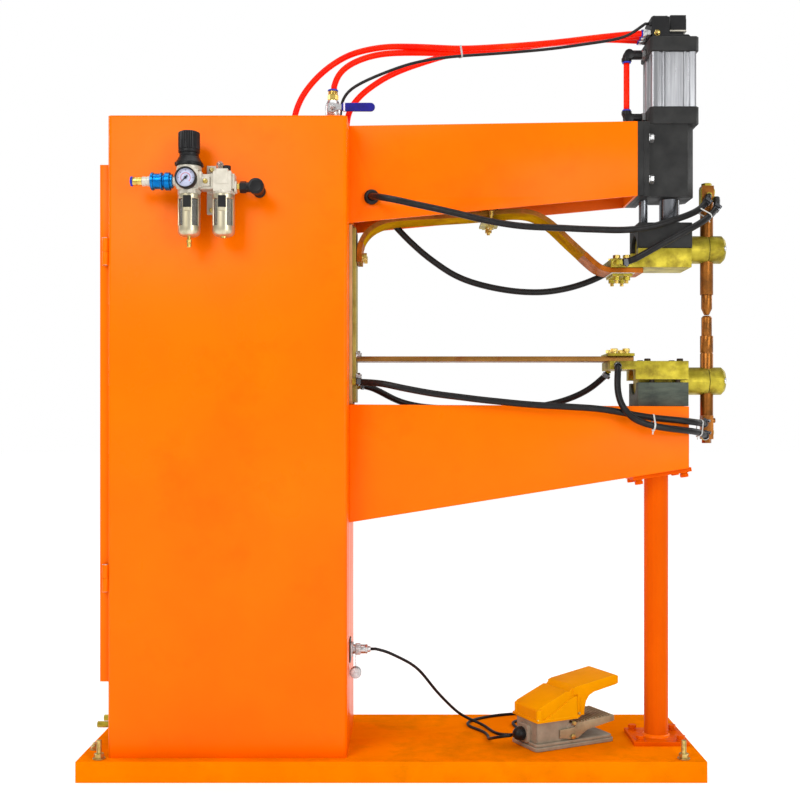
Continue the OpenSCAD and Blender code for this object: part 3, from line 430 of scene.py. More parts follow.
def smooth_route(points, step=0.008, passes=6):
    """A smooth curve through route points given in millimetres, as points in metres."""
    p = [Vector(q) * MM for q in points]
    p = [2 * p[0] - p[1]] + p + [2 * p[-1] - p[-2]]
    out = []
    for i in range(1, len(p) - 2):
        a, b, c, d = p[i - 1:i + 3]
        t0, t1 = 0.0, (b - a).length ** 0.5
        t2 = t1 + (c - b).length ** 0.5
        t3 = t2 + (d - c).length ** 0.5
        n = max(1, round((c - b).length / step))
        for k in range(n):
            t = t1 + (t2 - t1) * k / n
            a1 = a.lerp(b, (t - t0) / (t1 - t0))
            a2 = b.lerp(c, (t - t1) / (t2 - t1))
            a3 = c.lerp(d, (t - t2) / (t3 - t2))
            b1 = a1.lerp(a2, (t - t0) / (t2 - t0))
            b2 = a2.lerp(a3, (t - t1) / (t3 - t1))
            out.append(b1.lerp(b2, (t - t1) / (t2 - t1)))
    out.append(p[-2])
    for _ in range(passes):
        out = out[:2] + [out[i] * 0.5 + (out[i - 1] + out[i + 1]) * 0.25 for i in range(2, len(out) - 2)] + out[-2:]
    return out


def hose(name, route, diameter, slot, body, n=18):
    """A hose, cable or cord as a tube along its route."""
    path = smooth_route(route)
    rings = round_rings(path, diameter / 2, n)
    mesh = bpy.data.meshes.new(name)
    points = [p for ring in rings for p in ring]
    faces = skin(len(rings), n)
    mesh.from_pydata([tuple(p) for p in points], [], faces)
    mesh.polygons.foreach_set("use_smooth", [len(f) == 4 for f in faces])
    mesh.materials.append(FINISH[slot])
    obj = stand(name, mesh)
    if body:
        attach(obj, body)
    else:
        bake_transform(obj)
    return obj


# ---------- hoses, cables and the cord ----------

AIR = [
    [(-196, -60, 1274), (-196, -60, 1290), (-188, -60, 1318), (-174, -58, 1345), (-145, -52, 1381),
     (-115, -45, 1407), (-85, -41, 1425), (-45, -37, 1437), (-9, -34, 1443), (36, -32, 1444), (89, -32, 1442),
     (138, -32, 1440), (219, -34, 1443), (321, -37, 1450), (423, -40, 1461), (480, -42, 1466), (496, -42, 1467),
     (508.8, -42, 1467)],
    [(-116, -60, 1348), (-115, -60, 1362), (-109, -58, 1378), (-98, -54, 1392), (-84, -50, 1403),
     (-53, -44, 1418), (-16, -37, 1428), (36, -28, 1433), (88, -23, 1434), (139, -20, 1435), (218, -20, 1441),
     (319, -20, 1454), (421, -20, 1465), (480, -20, 1468), (496, -20, 1467), (508.8, -20, 1467)],
    [(-92, -30, 1274), (-92, -30, 1292), (-88, -30, 1312), (-78, -30, 1330), (-65, -30, 1345), (-43, -29, 1363),
     (-17, -26, 1381), (10, -21, 1396), (36, -15, 1408), (70, -9, 1421), (104, -4, 1433), (139, -1, 1441),
     (217, 0, 1450), (319, 0, 1460), (419, 1, 1469), (480, 2, 1468), (496, 2, 1467), (508.8, 2, 1467)],
    [(477, MID_Y, 1320), (477, MID_Y, 1350), (477, MID_Y, 1385), (477, MID_Y, 1415)],
]
VALVE_CABLE = [
    (-104, -40, 1274), (-104, -40, 1290), (-104, -42, 1316), (-98, -46, 1338), (-82, -50, 1354), (-44, -56, 1372),
    (-4, -60, 1387), (36, -62, 1400), (76, -60, 1409), (118, -56, 1416), (217, -53, 1424), (319, -53, 1433),
    (398, -53, 1444), (440, -54, 1450), (466, -55, 1456), (484, -55, 1465), (498, -53, 1477), (508, -50, 1484),
    (516.8, -50, 1484)]
UPPER = [
    [(-40, -92, 1129), (-39.5, -102, 1128), (-35, -118, 1125), (-24, -133, 1121), (-6, -143, 1116),
     (16, -147, 1111), (44, -144, 1105), (74, -137, 1100), (104, -129, 1095), (140, -121, 1088), (172, -116, 1081),
     (210, -112, 1074), (255, -110, 1068), (292, -109, 1066), (329, -108, 1065), (368, -107, 1063),
     (408, -106, 1062), (445, -105, 1061), (479, -104, 1063), (517, -100, 1070), (551, -92, 1082),
     (585, -80, 1094), (612, -64, 1108), (630, -46, 1124), (640, -34, 1143)],
    [(0, 30, 1098), (20, 34, 1076), (40, 38, 1057), (65, 41, 1035), (95, 44, 1013), (124, 46, 994), (153, 47, 981),
     (182, 48, 972), (212, 48, 965), (241, 49, 960), (268, 50, 957), (295, 50, 956), (323, 51, 957),
     (350, 51, 961), (381, 51, 968), (413, 50, 979), (438, 48, 990), (459, 42, 1003)],
]
HEAD_HOSE = [
    (458, -76, 1002), (467, -78, 1003), (478, -84, 1006), (490, -91, 1012), (504, -96, 1020), (525, -99, 1032),
    (547, -98, 1043), (568, -96, 1055), (588, -92, 1066), (610, -84, 1078), (627, -73, 1091), (643, -58, 1104),
    (654, -44, 1119), (656, -32, 1137)]
LOWER = [
    [(-79, -67, 765), (-67, -67, 765), (-52, -72, 764), (-36, -83, 763), (-20, -94, 761), (-2, -102, 757),
     (20, -106, 752), (46, -106, 747), (73, -106, 742), (100, -106, 738), (126, -106, 735), (173, -106, 729),
     (212, -106, 725), (251, -106, 721), (290, -106, 718), (329, -106, 716), (363, -106, 714), (398, -106, 712),
     (433, -106, 707), (470, -106, 700), (506, -106, 694), (545, -105, 690), (578, -99, 687), (604, -84, 684),
     (621, -62, 682), (631, -38, 681)],
    [(-72, 20, 760), (-60, 20, 760), (-46, 26, 757), (-28, 38, 749), (-8, 50, 738), (16, 60, 727), (60, 66, 717),
     (100, 66, 714), (142, 66, 712), (184, 66, 711), (226, 66, 712), (268, 66, 714), (310, 66, 718),
     (352, 64, 727), (390, 61, 741), (418, 57, 757), (436, 51, 773), (450, 44, 787)],
    [(448, -70, 800), (448, -82, 792), (445, -91, 776), (443, -98, 750), (446, -107, 728), (452, -117, 711),
     (463, -122, 697), (480, -124, 686), (502, -123, 679), (529, -119, 674), (564, -108, 670), (592, -92, 667),
     (612, -74, 664), (626, -54, 660), (632, -38, 655)],
]
PEDAL_CORD = [
    (-43, -52, 230), (-33, -52, 230), (-16, -48, 226), (0, -40, 217), (18, -28, 206), (38, -12, 192), (56, 2, 175),
    (72, 15, 153), (84, 27, 135), (98, 40, 116), (114, 54, 97), (130, 69, 78), (146, 81, 63), (162, 87, 53),
    (178, 84, 48), (191, 72, 45), (199, 55, 43), (204, 37, 43), (209, 19, 43), (220, 4, 43), (237, -2, 43),
    (254, 4, 43), (265, 19, 43), (267, 39, 43), (260, 61, 43), (254, 80, 43), (253, 99, 43), (263, 114, 43),
    (281, 119, 43), (301, 117, 43), (320, 122, 43), (331, 143, 43), (321, 165, 43), (300, 173, 43), (270, 171, 43),
    (238, 162, 43), (208, 147, 43), (182, 128, 43), (165, 109, 43), (157, 88, 43), (161, 66, 43), (176, 46, 43),
    (190, 24, 43), (196, -4, 43), (194, -34, 45), (196, -62, 53), (208, -84, 62), (222, -93, 66), (235, -90, 67)]

AIR_HOSE, WATER_HOSE, CORD = 0.012, 0.013, 0.006
air = [hose(f"air_hose_{i + 1}", AIR[i], AIR_HOSE, "red_hose", "frame")
       for i in range(4)]
hose("valve_cable", VALVE_CABLE, CORD, "black_rubber", "frame", 12)
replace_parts(air[0], "air_hoses")
upper = [hose(f"water_hose_{i + 1}", UPPER[i], WATER_HOSE, "black_rubber", None) for i in range(2)]
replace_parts(upper[0], "upper_hoses")
head_hose = hose("water_hose_3", HEAD_HOSE, WATER_HOSE, "black_rubber", "head")
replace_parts(head_hose, "head_hose")
lower = [hose(f"water_hose_{i + 4}", LOWER[i], WATER_HOSE, "black_rubber",
              "frame") for i in range(3)]
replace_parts(lower[0], "lower_hoses")
pedal_cord = hose("pedal_lead", PEDAL_CORD, CORD, "black_rubber", "frame",
                  12)
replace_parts(pedal_cord, "pedal_cord")


# ---------- the CAD nodes that stay ----------

SLOT_OF = {s["node"]: s["material_slot"] for s in record["subparts"]}
# The support column takes the darker orange copy, painted shade.
OTHER_FINISH = {"support_column": "shaded_column_paint", "base_plate": "base_paint", "base_rails": "base_paint",
                "lower_conductor": "aged_copper"}
ROUNDED = {
    "base_plate": 1.5, "base_rails": 1.5, "cabinet_front": 0.8, "cabinet_rear": 0.8, "cabinet_side": 0.6,
    "door_frame": 0.6, "cabinet_roof": 1.2, "door": 2.0, "door_lock": 1.0, "upper_arm": 1.5, "lower_arm": 1.5,
    "support_column": 1.2, "head_plate": 1.2, "head_casting": 2.0, "cylinder_caps": 1.5, "transformer_core": 1.0,
    "transformer_coils": 6.0, "secondary_busbars": 1.0, "thyristor_unit": 0.6, "control_box": 2.0,
    "water_manifold": 0.8, "lower_conductor": 0.8, "lower_insulator": 0.8, "lower_block": 1.2, "lower_bar": 0.8,
    "ram_rods": 0.8, "head_block": 1.5, "upper_block": 1.2, "upper_bar": 0.8, "lower_holder": 0.5,
    "upper_holder": 0.5, "lower_tip": 0.5, "upper_tip": 0.5, "pedal_guard": 2.4, "pedal_treadle": 1.0,
}


def soften(node, width, segments=2):
    """Joins a CAD node's flat triangles and rounds its edges, with its own mesh left as it is."""
    weld = node.modifiers.new("joined", "WELD")
    weld.merge_threshold = 0.00002
    flat = node.modifiers.new("flat_faces", "DECIMATE")
    flat.decimate_type = "DISSOLVE"
    flat.angle_limit = math.radians(0.6)
    round_edges(node, width, segments, 30)


for name, node in frame["nodes"].items():
    for s in node.material_slots:
        s.material = FINISH[OTHER_FINISH.get(name, SLOT_OF[name])]
    node.data.polygons.foreach_set("use_smooth", [name in ROUNDED] * len(node.data.polygons))
    if name in ROUNDED:
        soften(node, ROUNDED[name])

SIDEWAYS = Matrix(((1, 0, 0), (0, 0, -1), BACK)).to_4x4()


def slab(shape, outline, y0, y1, m=HERE):
    """An XZ outline from y0 to y1."""
    return shape.prism(outline, -y1, -y0, m @ SIDEWAYS)


def arc_wall(shape, r0, r1, a0, a1, h0, h1, m, n=8):
    """A part of a turned wall, between two angles in degrees."""
    angles = [math.radians(a0 + (a1 - a0) * k / n) for k in range(n + 1)]
    outline = [polar(r1, a) for a in angles]
    outline += [polar(r0, a) for a in reversed(angles)]
    return shape.prism(outline, h0, h1, m)


def fluted(shape, r, depth, flutes, h0, h1, m, c=1.0):
    """A turned grip with rounded flutes along it."""
    n = flutes * 6

    def outline(shrink):
        dips = [depth * (0.5 - 0.5 * math.cos(math.pi / 3 * k)) ** 2 for k in range(n)]
        return [polar(r - shrink - dip, 2 * math.pi * k / n) for k, dip in enumerate(dips)]

    levels = [(c, h0), (0, h0 + c), (0, h1 - c), (c * 0.3, h1 - c * 0.3), (c, h1)]
    points = [(x, y, h) for shrink, h in levels for x, y in outline(shrink)]
    return shape.add(points, skin(len(levels), n), m)


def tie(name, centres, radii, along, width, thick, finish, body, tail=0.0):
    """A cable tie round several hoses: a band pulled tight round their outline, with its lock and tail."""
    t = Vector(along).normalized()
    origin = sum((Vector(c) for c in centres), Vector()) / len(centres)
    u = Vector((0, 0, 1))
    u = (u - u.dot(t) * t).normalized()
    v = t.cross(u)
    cloud = []
    for c, r in zip(centres, radii):
        d = Vector(c) - origin
        x, y = d.dot(v), d.dot(u)
        cloud += [(x + (r + 0.15) * math.cos(a * math.pi / 16), y + (r + 0.15) * math.sin(a * math.pi / 16))
                  for a in range(32)]
    cloud = sorted(set(cloud))

    def half(points):
        out = []
        for p in points:
            while len(out) > 1 and ((out[-1][0] - out[-2][0]) * (p[1] - out[-2][1])
                                    - (out[-1][1] - out[-2][1]) * (p[0] - out[-2][0])) <= 0:
                out.pop()
            out.append(p)
        return out[:-1]

    hull = half(cloud) + half(cloud[::-1])
    m = Matrix.Translation(origin * MM) @ Matrix((v, u, -t)).transposed().to_4x4()
    cx, cy = sum(p[0] for p in hull) / len(hull), sum(p[1] for p in hull) / len(hull)
    outer = []
    for x, y in hull:
        d = Vector((x - cx, y - cy))
        d = d.normalized() * (d.length + thick)
        outer.append((cx + d.x, cy + d.y))
    n = len(hull)
    points = [(x, y, h) for h in (-width / 2, width / 2) for x, y in hull]
    points += [(x, y, h) for h in (-width / 2, width / 2) for x, y in outer]
    faces = []
    for k in range(n):
        j = (k + 1) % n
        faces += [(k, j, n + j, n + k), (2 * n + k, 3 * n + k, 3 * n + j, 2 * n + j),
                  (k, 2 * n + k, 2 * n + j, j), (n + k, n + j, 3 * n + j, 3 * n + k)]
    s = Shape(name).add(points, faces, m)
    low = min(range(n), key=lambda k: hull[k][1] + 0.4 * hull[k][0])
    x, y = hull[low]
    s.block(x - 3, x + 2.2, y - thick - 2.6, y - thick * 0.4, -width * 0.8, width * 0.8, m)
    if tail:
        s.block(x - 1, x - 1 + thick, y - thick - 2.6 - tail, y - thick - 2.2, -width * 0.4, width * 0.4, m)
    return s.done(finish, body, 0.35)


def clip(shape, centre, axis, r):
    """A worm-drive hose clip."""
    m = at(centre, axis)
    shape.ring(r - 0.1, r + 0.9, -4.5, 4.5, m, 32, 0.25)
    shape.block(-5, 5, -r - 4.6, -r - 0.4, -4, 4, m)
    shape.turned([(0, 5), (3.2, 5), (3.4, 5.6), (3.4, 8), (2.8, 8.6), (0, 8.6)],
                 m @ Matrix.Translation(Vector((0, -r - 2.6, 0)) * MM) @ Matrix.Rotation(math.pi / 2, 4, "Y"), 12)
    return shape


# ---------- base and bolts ----------

s = Shape("anchor_studs")
for x in (-560, 560):
    spot = at((x, -155, 40))
    s.ring(5.2, 12, 0, 2.5, spot)
    s.hexagon(17, 2.5, 11, spot)
    s.thread(5, -38, 36, spot, 2.0)
spot = at((-585, -93, 40))
s.ring(4.2, 9, 0, 1.6, spot)
s.hexagon(13, 1.6, 8, spot)
s.thread(4, 7, 14, spot)
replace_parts(s.done("zinc_yellow"), "anchor_bolts")

slope = math.atan(108 / 673)
under = Matrix.Translation(Vector((COLUMN_X, MID_Y, 585.7)) * MM) @ Matrix.Rotation(-slope, 4, "Y")
s = Shape("column_bolts")
for sx in (-1, 1):
    for sy in (-1, 1):
        s.bolt(at((COLUMN_X + sx * 40.75, MID_Y + sy * 40.75, 48)), 15, 9, 2, 7)
        s.bolt(under @ at((sx * 46, sy * 40, -8), DOWN), 15, 9, 2, 7)
s.done("orange_paint", finishes=["shaded_column_paint"])
s = Shape("casting_bolts")
for y in (-74, 42):
    for z in (1167, 1249):
        s.bolt(at((509, y, z), RIGHT), 16, 9.5, 2, 7)
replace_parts(s.done("steel"), "frame_bolts")
s = Shape("throat_insulator").block(-84.9, -79, -72, 40, 721.2, 1078)
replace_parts(s.done("insulator", "frame", 0.6, ["textolite"]), "throat_plate")
s = Shape("throat_lug").block(-79, -72, -60, 28, 725, 1074)
s.done("throat_sheet", "frame", 1.0)
s = Shape("throat_bolts")
for y in (-54, 22):
    for z in (820, 776):
        s.bolt(at((-72, y, z), RIGHT), 13, 8, 2, 5)
s.done("steel")

# The weld bead round the foot of the column.
s = Shape("column_weld")
s.collar([(24.1, 48), (28.5, 48), (27.6, 50.6), (25.4, 52.4), (24.1, 53)], at((COLUMN_X, MID_Y, 0)), 40)
s.done("orange_paint")

# ---------- air cylinder and valve ----------

s = Shape("cylinder_profile")
outline = []
quarter = [(45, -40), (45, -30.5), (41.8, -29.8), (41.8, -24.2), (45, -23.5), (45, -20), (42.6, -17.5), (42.6, 17.5),
           (45, 20), (45, 23.5), (41.8, 24.2), (41.8, 29.8), (45, 30.5), (45, 40), (43.6, 43.6)]
for k in range(4):
    a = math.pi / 2 * k
    outline += [(x * math.cos(a) - y * math.sin(a), x * math.sin(a) + y * math.cos(a)) for x, y in quarter]
s.prism(outline, 1315.05, 1425.95, at((CYLINDER_X, MID_Y, 0)))
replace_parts(s.done("profile_aluminium", "frame", 0.5), "cylinder_tube")

s = Shape("valve_body")
s.block(520, 556, -54, 12, 1461.5, 1498)
s.block(523, 553, -52, 10, 1498, 1500)
s.block(556, 590, -32, 0, 1461.5, 1474)
s.block(562, 594, -34, 2, 1477, 1507.6)
s.block(590, 596, -28, -4, 1480, 1503)
for y in (-38, -16, 6):
    s.block(537, 556.4, y - 1.2, y + 1.2, 1466, 1494)
slab(s, [(520.5, 1455.2), (600, 1455.2), (594, 1461.5), (522, 1461.5)], -56, 14)
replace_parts(s.done("black_plastic", "frame", 1.1), "solenoid_valve")
s = Shape("valve_coil_plate")
s.block(561, 595, -35, 3, 1474.2, 1477)
s.done("steel", "frame", 0.4, ["pale_metal"])
s = Shape("valve_screws")
for x, y in ((526, -46), (550, -46), (526, 4), (550, 4)):
    spot = at((x, y, 1499.8))
    s.turned([(0, 0), (2.6, 0), (2.8, 0.4), (2.4, 1.6), (0, 1.8)], spot, 20)
    s.block(-2, 2, -0.3, 0.3, 1.2, 1.9, spot)
spot = at((578, MID_Y, 1507.4))
s.turned([(0, 0), (3.4, 0), (3.4, 0.5), (0, 0.6)], spot, 20)
s.done("steel")
s = Shape("valve_silencers")
for y in (-54, 12):
    spot = at((531, y, 1464), (0, -1 if y < 0 else 1, 0))
    s.hexagon(11, 0, 3, spot)
    s.turned([(4.6, 3), (4.9, 3.4), (4.6, 8), (3.2, 10), (0, 10.6)], spot, 24)
s.done("brass", finishes=["bright_brass"])

s = Shape("air_elbows")
for z, way in ((1432, -1), (1303, 1)):
    s.sweep([(507, MID_Y, z), (489, MID_Y, z), (482, MID_Y, z + way * 0.8), (478, MID_Y, z + way * 4),
             (477, MID_Y, z + way * 8), (477, MID_Y, z + way * 12)], 9.4, n=24)
    s.turned([(9.6, 0), (10.2, 0.6), (10.2, 7), (9.6, 7.6)], at((477, MID_Y, z + way * 6.5), (0, 0, way)), 28)
    s.turned([(0, -10.6), (5, -10.6), (9.8, -9.4), (9.8, 9.4), (5, 10.6), (0, 10.6)],
             at((481, MID_Y, z - way * 0.2), BACK), 24)
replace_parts(s.done("black_plastic", "frame", 0.5), "air_fittings")
s = Shape("air_collars")
for z, way in ((1432, -1), (1303, 1)):
    s.ring(6.05, 8.8, 14, 17.2, at((477, MID_Y, z), (0, 0, way)), 28, 0.6)
for y in (-42, -20, 2):
    s.ring(6.05, 8.0, 0, 2.6, at((501.6, y, 1467), RIGHT), 28, 0.5)
s.done("blue_anodised", finishes=["collar_blue"])
s = Shape("air_nuts")
for z in (1432, 1303):
    s.hexagon(19, 0, 7.6, at((507, MID_Y, z), RIGHT))
for y in (-42, -20, 2):
    spot = at((504.2, y, 1467), RIGHT)
    s.turned([(6.1, 0), (8.4, 0), (8.8, 0.6), (8.8, 6), (8.2, 6.6), (8.2, 8), (6.1, 8)], spot, 28)
    s.hexagon(15, 8, 15.6, spot)
s.done("steel")
s = Shape("valve_cable_gland")
s.turned([(3.05, 0), (4.6, 0), (5.2, 1), (5.2, 4.6), (4.6, 5.2), (3.05, 5.2)], at((514.8, -50, 1484), RIGHT), 20)
s.done("black_plastic")

tie("air_tie", [(139, -32, 1440), (139, -20, 1435), (139, -1, 1441), (139, -55.6, 1418)], [6, 6, 6, 3],
    (1, 0.0, 0.06), 3.6, 0.9, "grey_nylon", "frame")

# ---------- ball valve ----------

spot = at((-118, -60, 0))
s = Shape("ball_valve_brass")
s.hexagon(23, 1274.1, 1281, spot)
s.turned([(14.5, 1281), (13.5, 1283), (10.6, 1290), (10.6, 1292), (0, 1292)], spot, 32)
s.turned([(0, 1259.2), (7.9, 1259.2), (7.9, 1274.1)], spot, 24)
s.turned([(0, 1325), (8.4, 1325), (8.4, 1328)], spot, 24)
s.hexagon(19, 1328, 1338, spot)
for h in (1338.4, 1340.6, 1342.8):
    s.ring(6.1, 9.6, h, h + 1.8, spot, 32, 0.4)
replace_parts(s.done("brass", finishes=["bright_brass"]), "air_valve_body")
s = Shape("ball_valve_body")
s.turned([(0, 1290), (10.5, 1290), (11.4, 1291), (14.8, 1299), (15.6, 1304), (15.6, 1312), (14.8, 1317),
          (11.4, 1325), (10.5, 1326), (0, 1326)], spot, 40)
s.turned([(0, 0), (9, 0), (9, 13), (8.2, 14), (0, 14)], at((-118, -66.5, 1308), FRONT), 28)
s.turned([(3.9, 14.4), (3.9, 31)], at((-118, -60, 1308), FRONT), 16)
s.hexagon(10, 28.6, 32, at((-118, -60, 1308), FRONT))
s.turned([(0, 31), (3.2, 31), (3.2, 34.5), (2.6, 35), (0, 35)], at((-118, -60, 1308), FRONT), 16)
s.done("steel", "frame", 0.3)
s = Shape("ball_valve_collar")
s.ring(6.05, 10.4, 1344.8, 1348.2, spot, 32, 0.7)
s.done("blue_anodised", finishes=["collar_blue"])

rim = [(-118 + 9.6 * math.cos(math.radians(a)), 1308 + 9.6 * math.sin(math.radians(a))) for a in range(40, 321, 14)]
s = Shape("lever_plate")
outline = rim + [(-103, 1302.5), (-92, 1302.5), (-92, 1313.5), (-103, 1313.5)]
slab(s, outline, -84, -81)
s.done("steel", "valve_lever", 0.3)
s = Shape("lever_grip")
end = [(-42 + 8.6 * math.cos(math.radians(a)), 1308 + 8.6 * math.sin(math.radians(a))) for a in range(-90, 91, 12)]
slab(s, [(-100, 1301.5), (-96, 1299.6)] + [(-42, 1299.4)] + end[1:] + [(-96, 1316.4), (-100, 1314.5)], -85.2, -79.8)
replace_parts(s.done("lever_blue", "valve_lever", 1.4, segments=3), "valve_lever")
s = Shape("lever_band")
s.block(-96, -92.5, -85.5, -79.5, 1299.2, 1316.8)
s.done("lever_blue", "valve_lever", 0.6, ["print_white"])

# ---------- air service unit ----------

FX, OX, FY = -380, -315, -195
s = Shape("regulator_housing")
s.block(FX - 20, FX + 20, FY - 20, FY + 20, 1120, 1158)
s.block(FX - 15, FX + 15, FY - 21.4, FY + 21, 1124, 1152)
s.turned([(20, 1112), (21.6, 1113), (21.6, 1121), (20, 1122)], at((FX, FY, 0)), 8)
s.turned([(0, 1156), (22.5, 1156), (23.5, 1158), (23.5, 1165), (22, 1166), (0, 1166)], at((FX, FY, 0)), 40)
s.turned([(0, 0), (13, 0), (13, 4), (11.5, 5.5), (0, 5.5)], at((FX - 19, FY, 1138), LEFT), 32)
s.block(FX + 18, FX + 26, FY - 15, FY + 15, 1124, 1154)
s.done("profile_aluminium", "frame", 1.6, ["pale_metal"], segments=3)
s = Shape("lubricator_housing")
s.block(OX - 17, OX + 17, FY - 20, FY + 20, 1116, 1154)
s.block(OX - 22, OX + 22, FY - 13, FY + 13, 1122, 1150)
s.block(OX - 11, OX + 11, FY - 21.2, FY + 18, 1130, 1158)
s.turned([(20, 1112), (21.6, 1113), (21.6, 1120), (20, 1121)], at((OX, FY, 0)), 8)
s.turned([(0, 0), (12, 0), (12, 4), (11, 5), (0, 5)], at((OX + 20.5, FY, 1127), RIGHT), 32)
s.done("profile_aluminium", "frame", 1.6, ["pale_metal"], segments=3)
s = Shape("service_bracket")
s.block(-358.5, -336.5, FY - 9, FY + 20, 1122, 1150)
s.block(-356, -339, FY - 13, FY - 8, 1127, 1145)
s.block(-353, -334, -160, -151.1, 1082, 1175)
s.block(-350, -337, -178, -159, 1118, 1154)
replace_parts(s.done("profile_aluminium", "frame", 1.4, ["pale_metal"]), "frl_body")
s = Shape("service_screws")
for x, y, z in ((-343.5, -160, 1167), (-343.5, -160, 1090), (-347.5, FY - 13, 1136)):
    spot = at((x, y, z), FRONT)
    s.turned([(0, 0), (4.6, 0), (4.8, 0.6), (4.2, 2.4), (2.5, 3), (0, 3.1)], spot, 28)
    s.block(-3.2, 3.2, -0.5, 0.5, 2.2, 3.3, spot)
    s.block(-0.5, 0.5, -3.2, 3.2, 2.2, 3.3, spot)
s.done("zinc_yellow")

spot = at((FX, FY, 0))
s = Shape("regulator_bonnet")
s.turned([(0, 1166), (25, 1166), (26, 1167), (26, 1171.5), (24.5, 1173.5), (20.2, 1181), (18.6, 1184), (17, 1184.1),
          (0, 1184.1)], spot, 48)
for k in range(8):
    a = math.radians(22.5 + 45 * k)
    s.block(24.6, 26.8, -2.4, 2.4, 1166, 1172.4, spot @ spin(a))
s.done("black_plastic", "frame", 0.5)
s = Shape("knob")
s.turned([(0, 1184.4), (17.6, 1184.4), (18, 1185), (18, 1190), (17, 1191)], spot, 48)
s.turned([(0, 1191), (19.2, 1191), (20.2, 1192.2), (20.2, 1196), (19.2, 1197)], spot, 48)
fluted(s, 20.2, 1.3, 26, 1196.2, 1229.6, spot, 1.6)
s.turned([(0, 1229), (17, 1229), (16.2, 1231), (9, 1231), (8.4, 1230.2), (0, 1230.2)], spot, 48)
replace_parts(s.done("black_plastic", "regulator_knob"), "regulator_knob")

spot = at((FX, FY - 21, 1138), FRONT)
s = Shape("gauge_rim")
s.turned([(0, 3.6), (19, 3.6), (20, 4.6), (20, 18.4), (19.2, 20), (17.6, 20), (17.2, 19), (17.2, 14.2)], spot, 56)
s.turned([(0, 0), (5, 0), (5, 3.7)], spot, 6)
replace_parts(s.done("gauge_case", finishes=["black_plastic"]), "pressure_gauge")
s = Shape("gauge_stem")
s.hexagon(12, 0, 3.7, spot)
s.done("brass", finishes=["bright_brass"])
s = Shape("gauge_dial")
s.rod(17.1, 14, 14.6, spot, 56)
s.paint(1)
for k in range(31):
    a = math.radians(-45 + 9 * k)
    long = k % 5 == 0
    s.block(12.2 if long else 13.6, 15.6, -0.35 if long else -0.16, 0.35 if long else 0.16, 14.5, 14.8,
            spot @ spin(a))
s.turned([(0, 14.5), (1.0, 14.5), (1.0, 17.6), (0, 17.8)], spot, 16)
s.paint(2)
arc_wall(s, 8.4, 9.3, -45, 225, 14.5, 14.8, spot, 36)
s.done("gauge_case", finishes=["dial_white", "needle_paint", "dial_red"])
s = Shape("needle")
rest = spot @ spin(math.radians(180 + 45))
s.ring(1.06, 2.6, 15.6, 16.9, spot, 24, 0.2)
s.prism([(2, -1.0), (13.6, -0.25), (13.6, 0.25), (2, 1.0)], 15.8, 16.5, rest)
s.prism([(-5.4, -1.3), (-2, -0.9), (-2, 0.9), (-5.4, 1.3)], 15.8, 16.5, rest)
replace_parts(s.done("needle_paint", "gauge_needle"), "gauge_needle")

guards = Shape("bowl_guards")
glass = Shape("bowls")
latches = Shape("bowl_latches")
for x in (FX, OX):
    spot = at((x, FY, 0))
    guards.ring(17.6, 21, 1103.5, 1112.6, spot, 48, 0.8)
    for k in range(4):
        arc_wall(guards, 18.6, 21, -90 - 25 + 90 * k, -90 + 25 + 90 * k, 1051, 1105, spot, 10)
    guards.turned([(18.6, 1053), (21, 1053), (21, 1045), (20.2, 1040), (17.4, 1036), (13, 1034), (0, 1034)], spot, 48)
    glass.turned([(0, 1104), (17.4, 1104), (17.4, 1046), (15, 1041), (0, 1040)], spot, 40)
    latches.prism([(-7.4, 1086), (7.4, 1086), (7.4, 1108), (-7.4, 1108)], -(FY - 18), -(FY - 23.4),
                  Matrix.Translation(Vector((x, 0, 0)) * MM) @ SIDEWAYS)
    latches.paint(1).block(x - 6.4, x + 6.4, FY - 23, FY - 19, 1079.5, 1086)
    latches.paint(0)
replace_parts(guards.done("bowl_guard", "frame", 0.3), "filter_bowls")
glass.done("bowl_guard", finishes=["clear_bowl"])
latches.done("black_plastic", "frame", 0.8, ["black_plastic", "bowl_guard"])
s = Shape("bowl_insides")
spot = at((FX, FY, 0))
s.turned([(0, 1102), (11, 1102), (11, 1064), (7, 1060), (0, 1060)], spot, 32)
s.turned([(0, 1058), (14, 1057), (14, 1055), (0, 1054)], spot, 32)
s.rod(4, 1102, 1048, at((OX, FY, 0)), 16)
s.done("black_plastic", finishes=["dark_inside"])
s = Shape("drain_valve")
s.turned([(0, 1034.2), (3.6, 1034.2), (3.6, 1029), (5.2, 1028), (5.4, 1023), (4.4, 1022), (4.6, 1014.5), (3.8, 1013.4),
          (0, 1013.4)], at((FX, FY, 0)), 24)
s.turned([(0, 1034.2), (6, 1034.2), (5.6, 1031), (0, 1030.4)], at((OX, FY, 0)), 24)
s.done("brass", finishes=["bright_brass"])
s = Shape("sight_dome")
s.turned([(7, 1157.6), (7.4, 1160), (7.2, 1169), (6, 1173.4), (3, 1175.6), (0, 1176)], at((OX - 7, FY, 0)), 32)
s.done("bowl_guard", finishes=["clear_bowl"])
s = Shape("sight_tube")
s.turned([(0, 1157.6), (2.2, 1157.6), (2.2, 1168), (3.4, 1169.4), (3.4, 1171), (0, 1171.6)], at((OX - 7, FY, 0)), 20)
s.done("copper")
s = Shape("oil_screw")
fluted(s, 7.6, 0.8, 14, 1157.8, 1166.4, at((OX + 6.5, FY - 4, 0)), 0.8)
s.done("black_plastic")

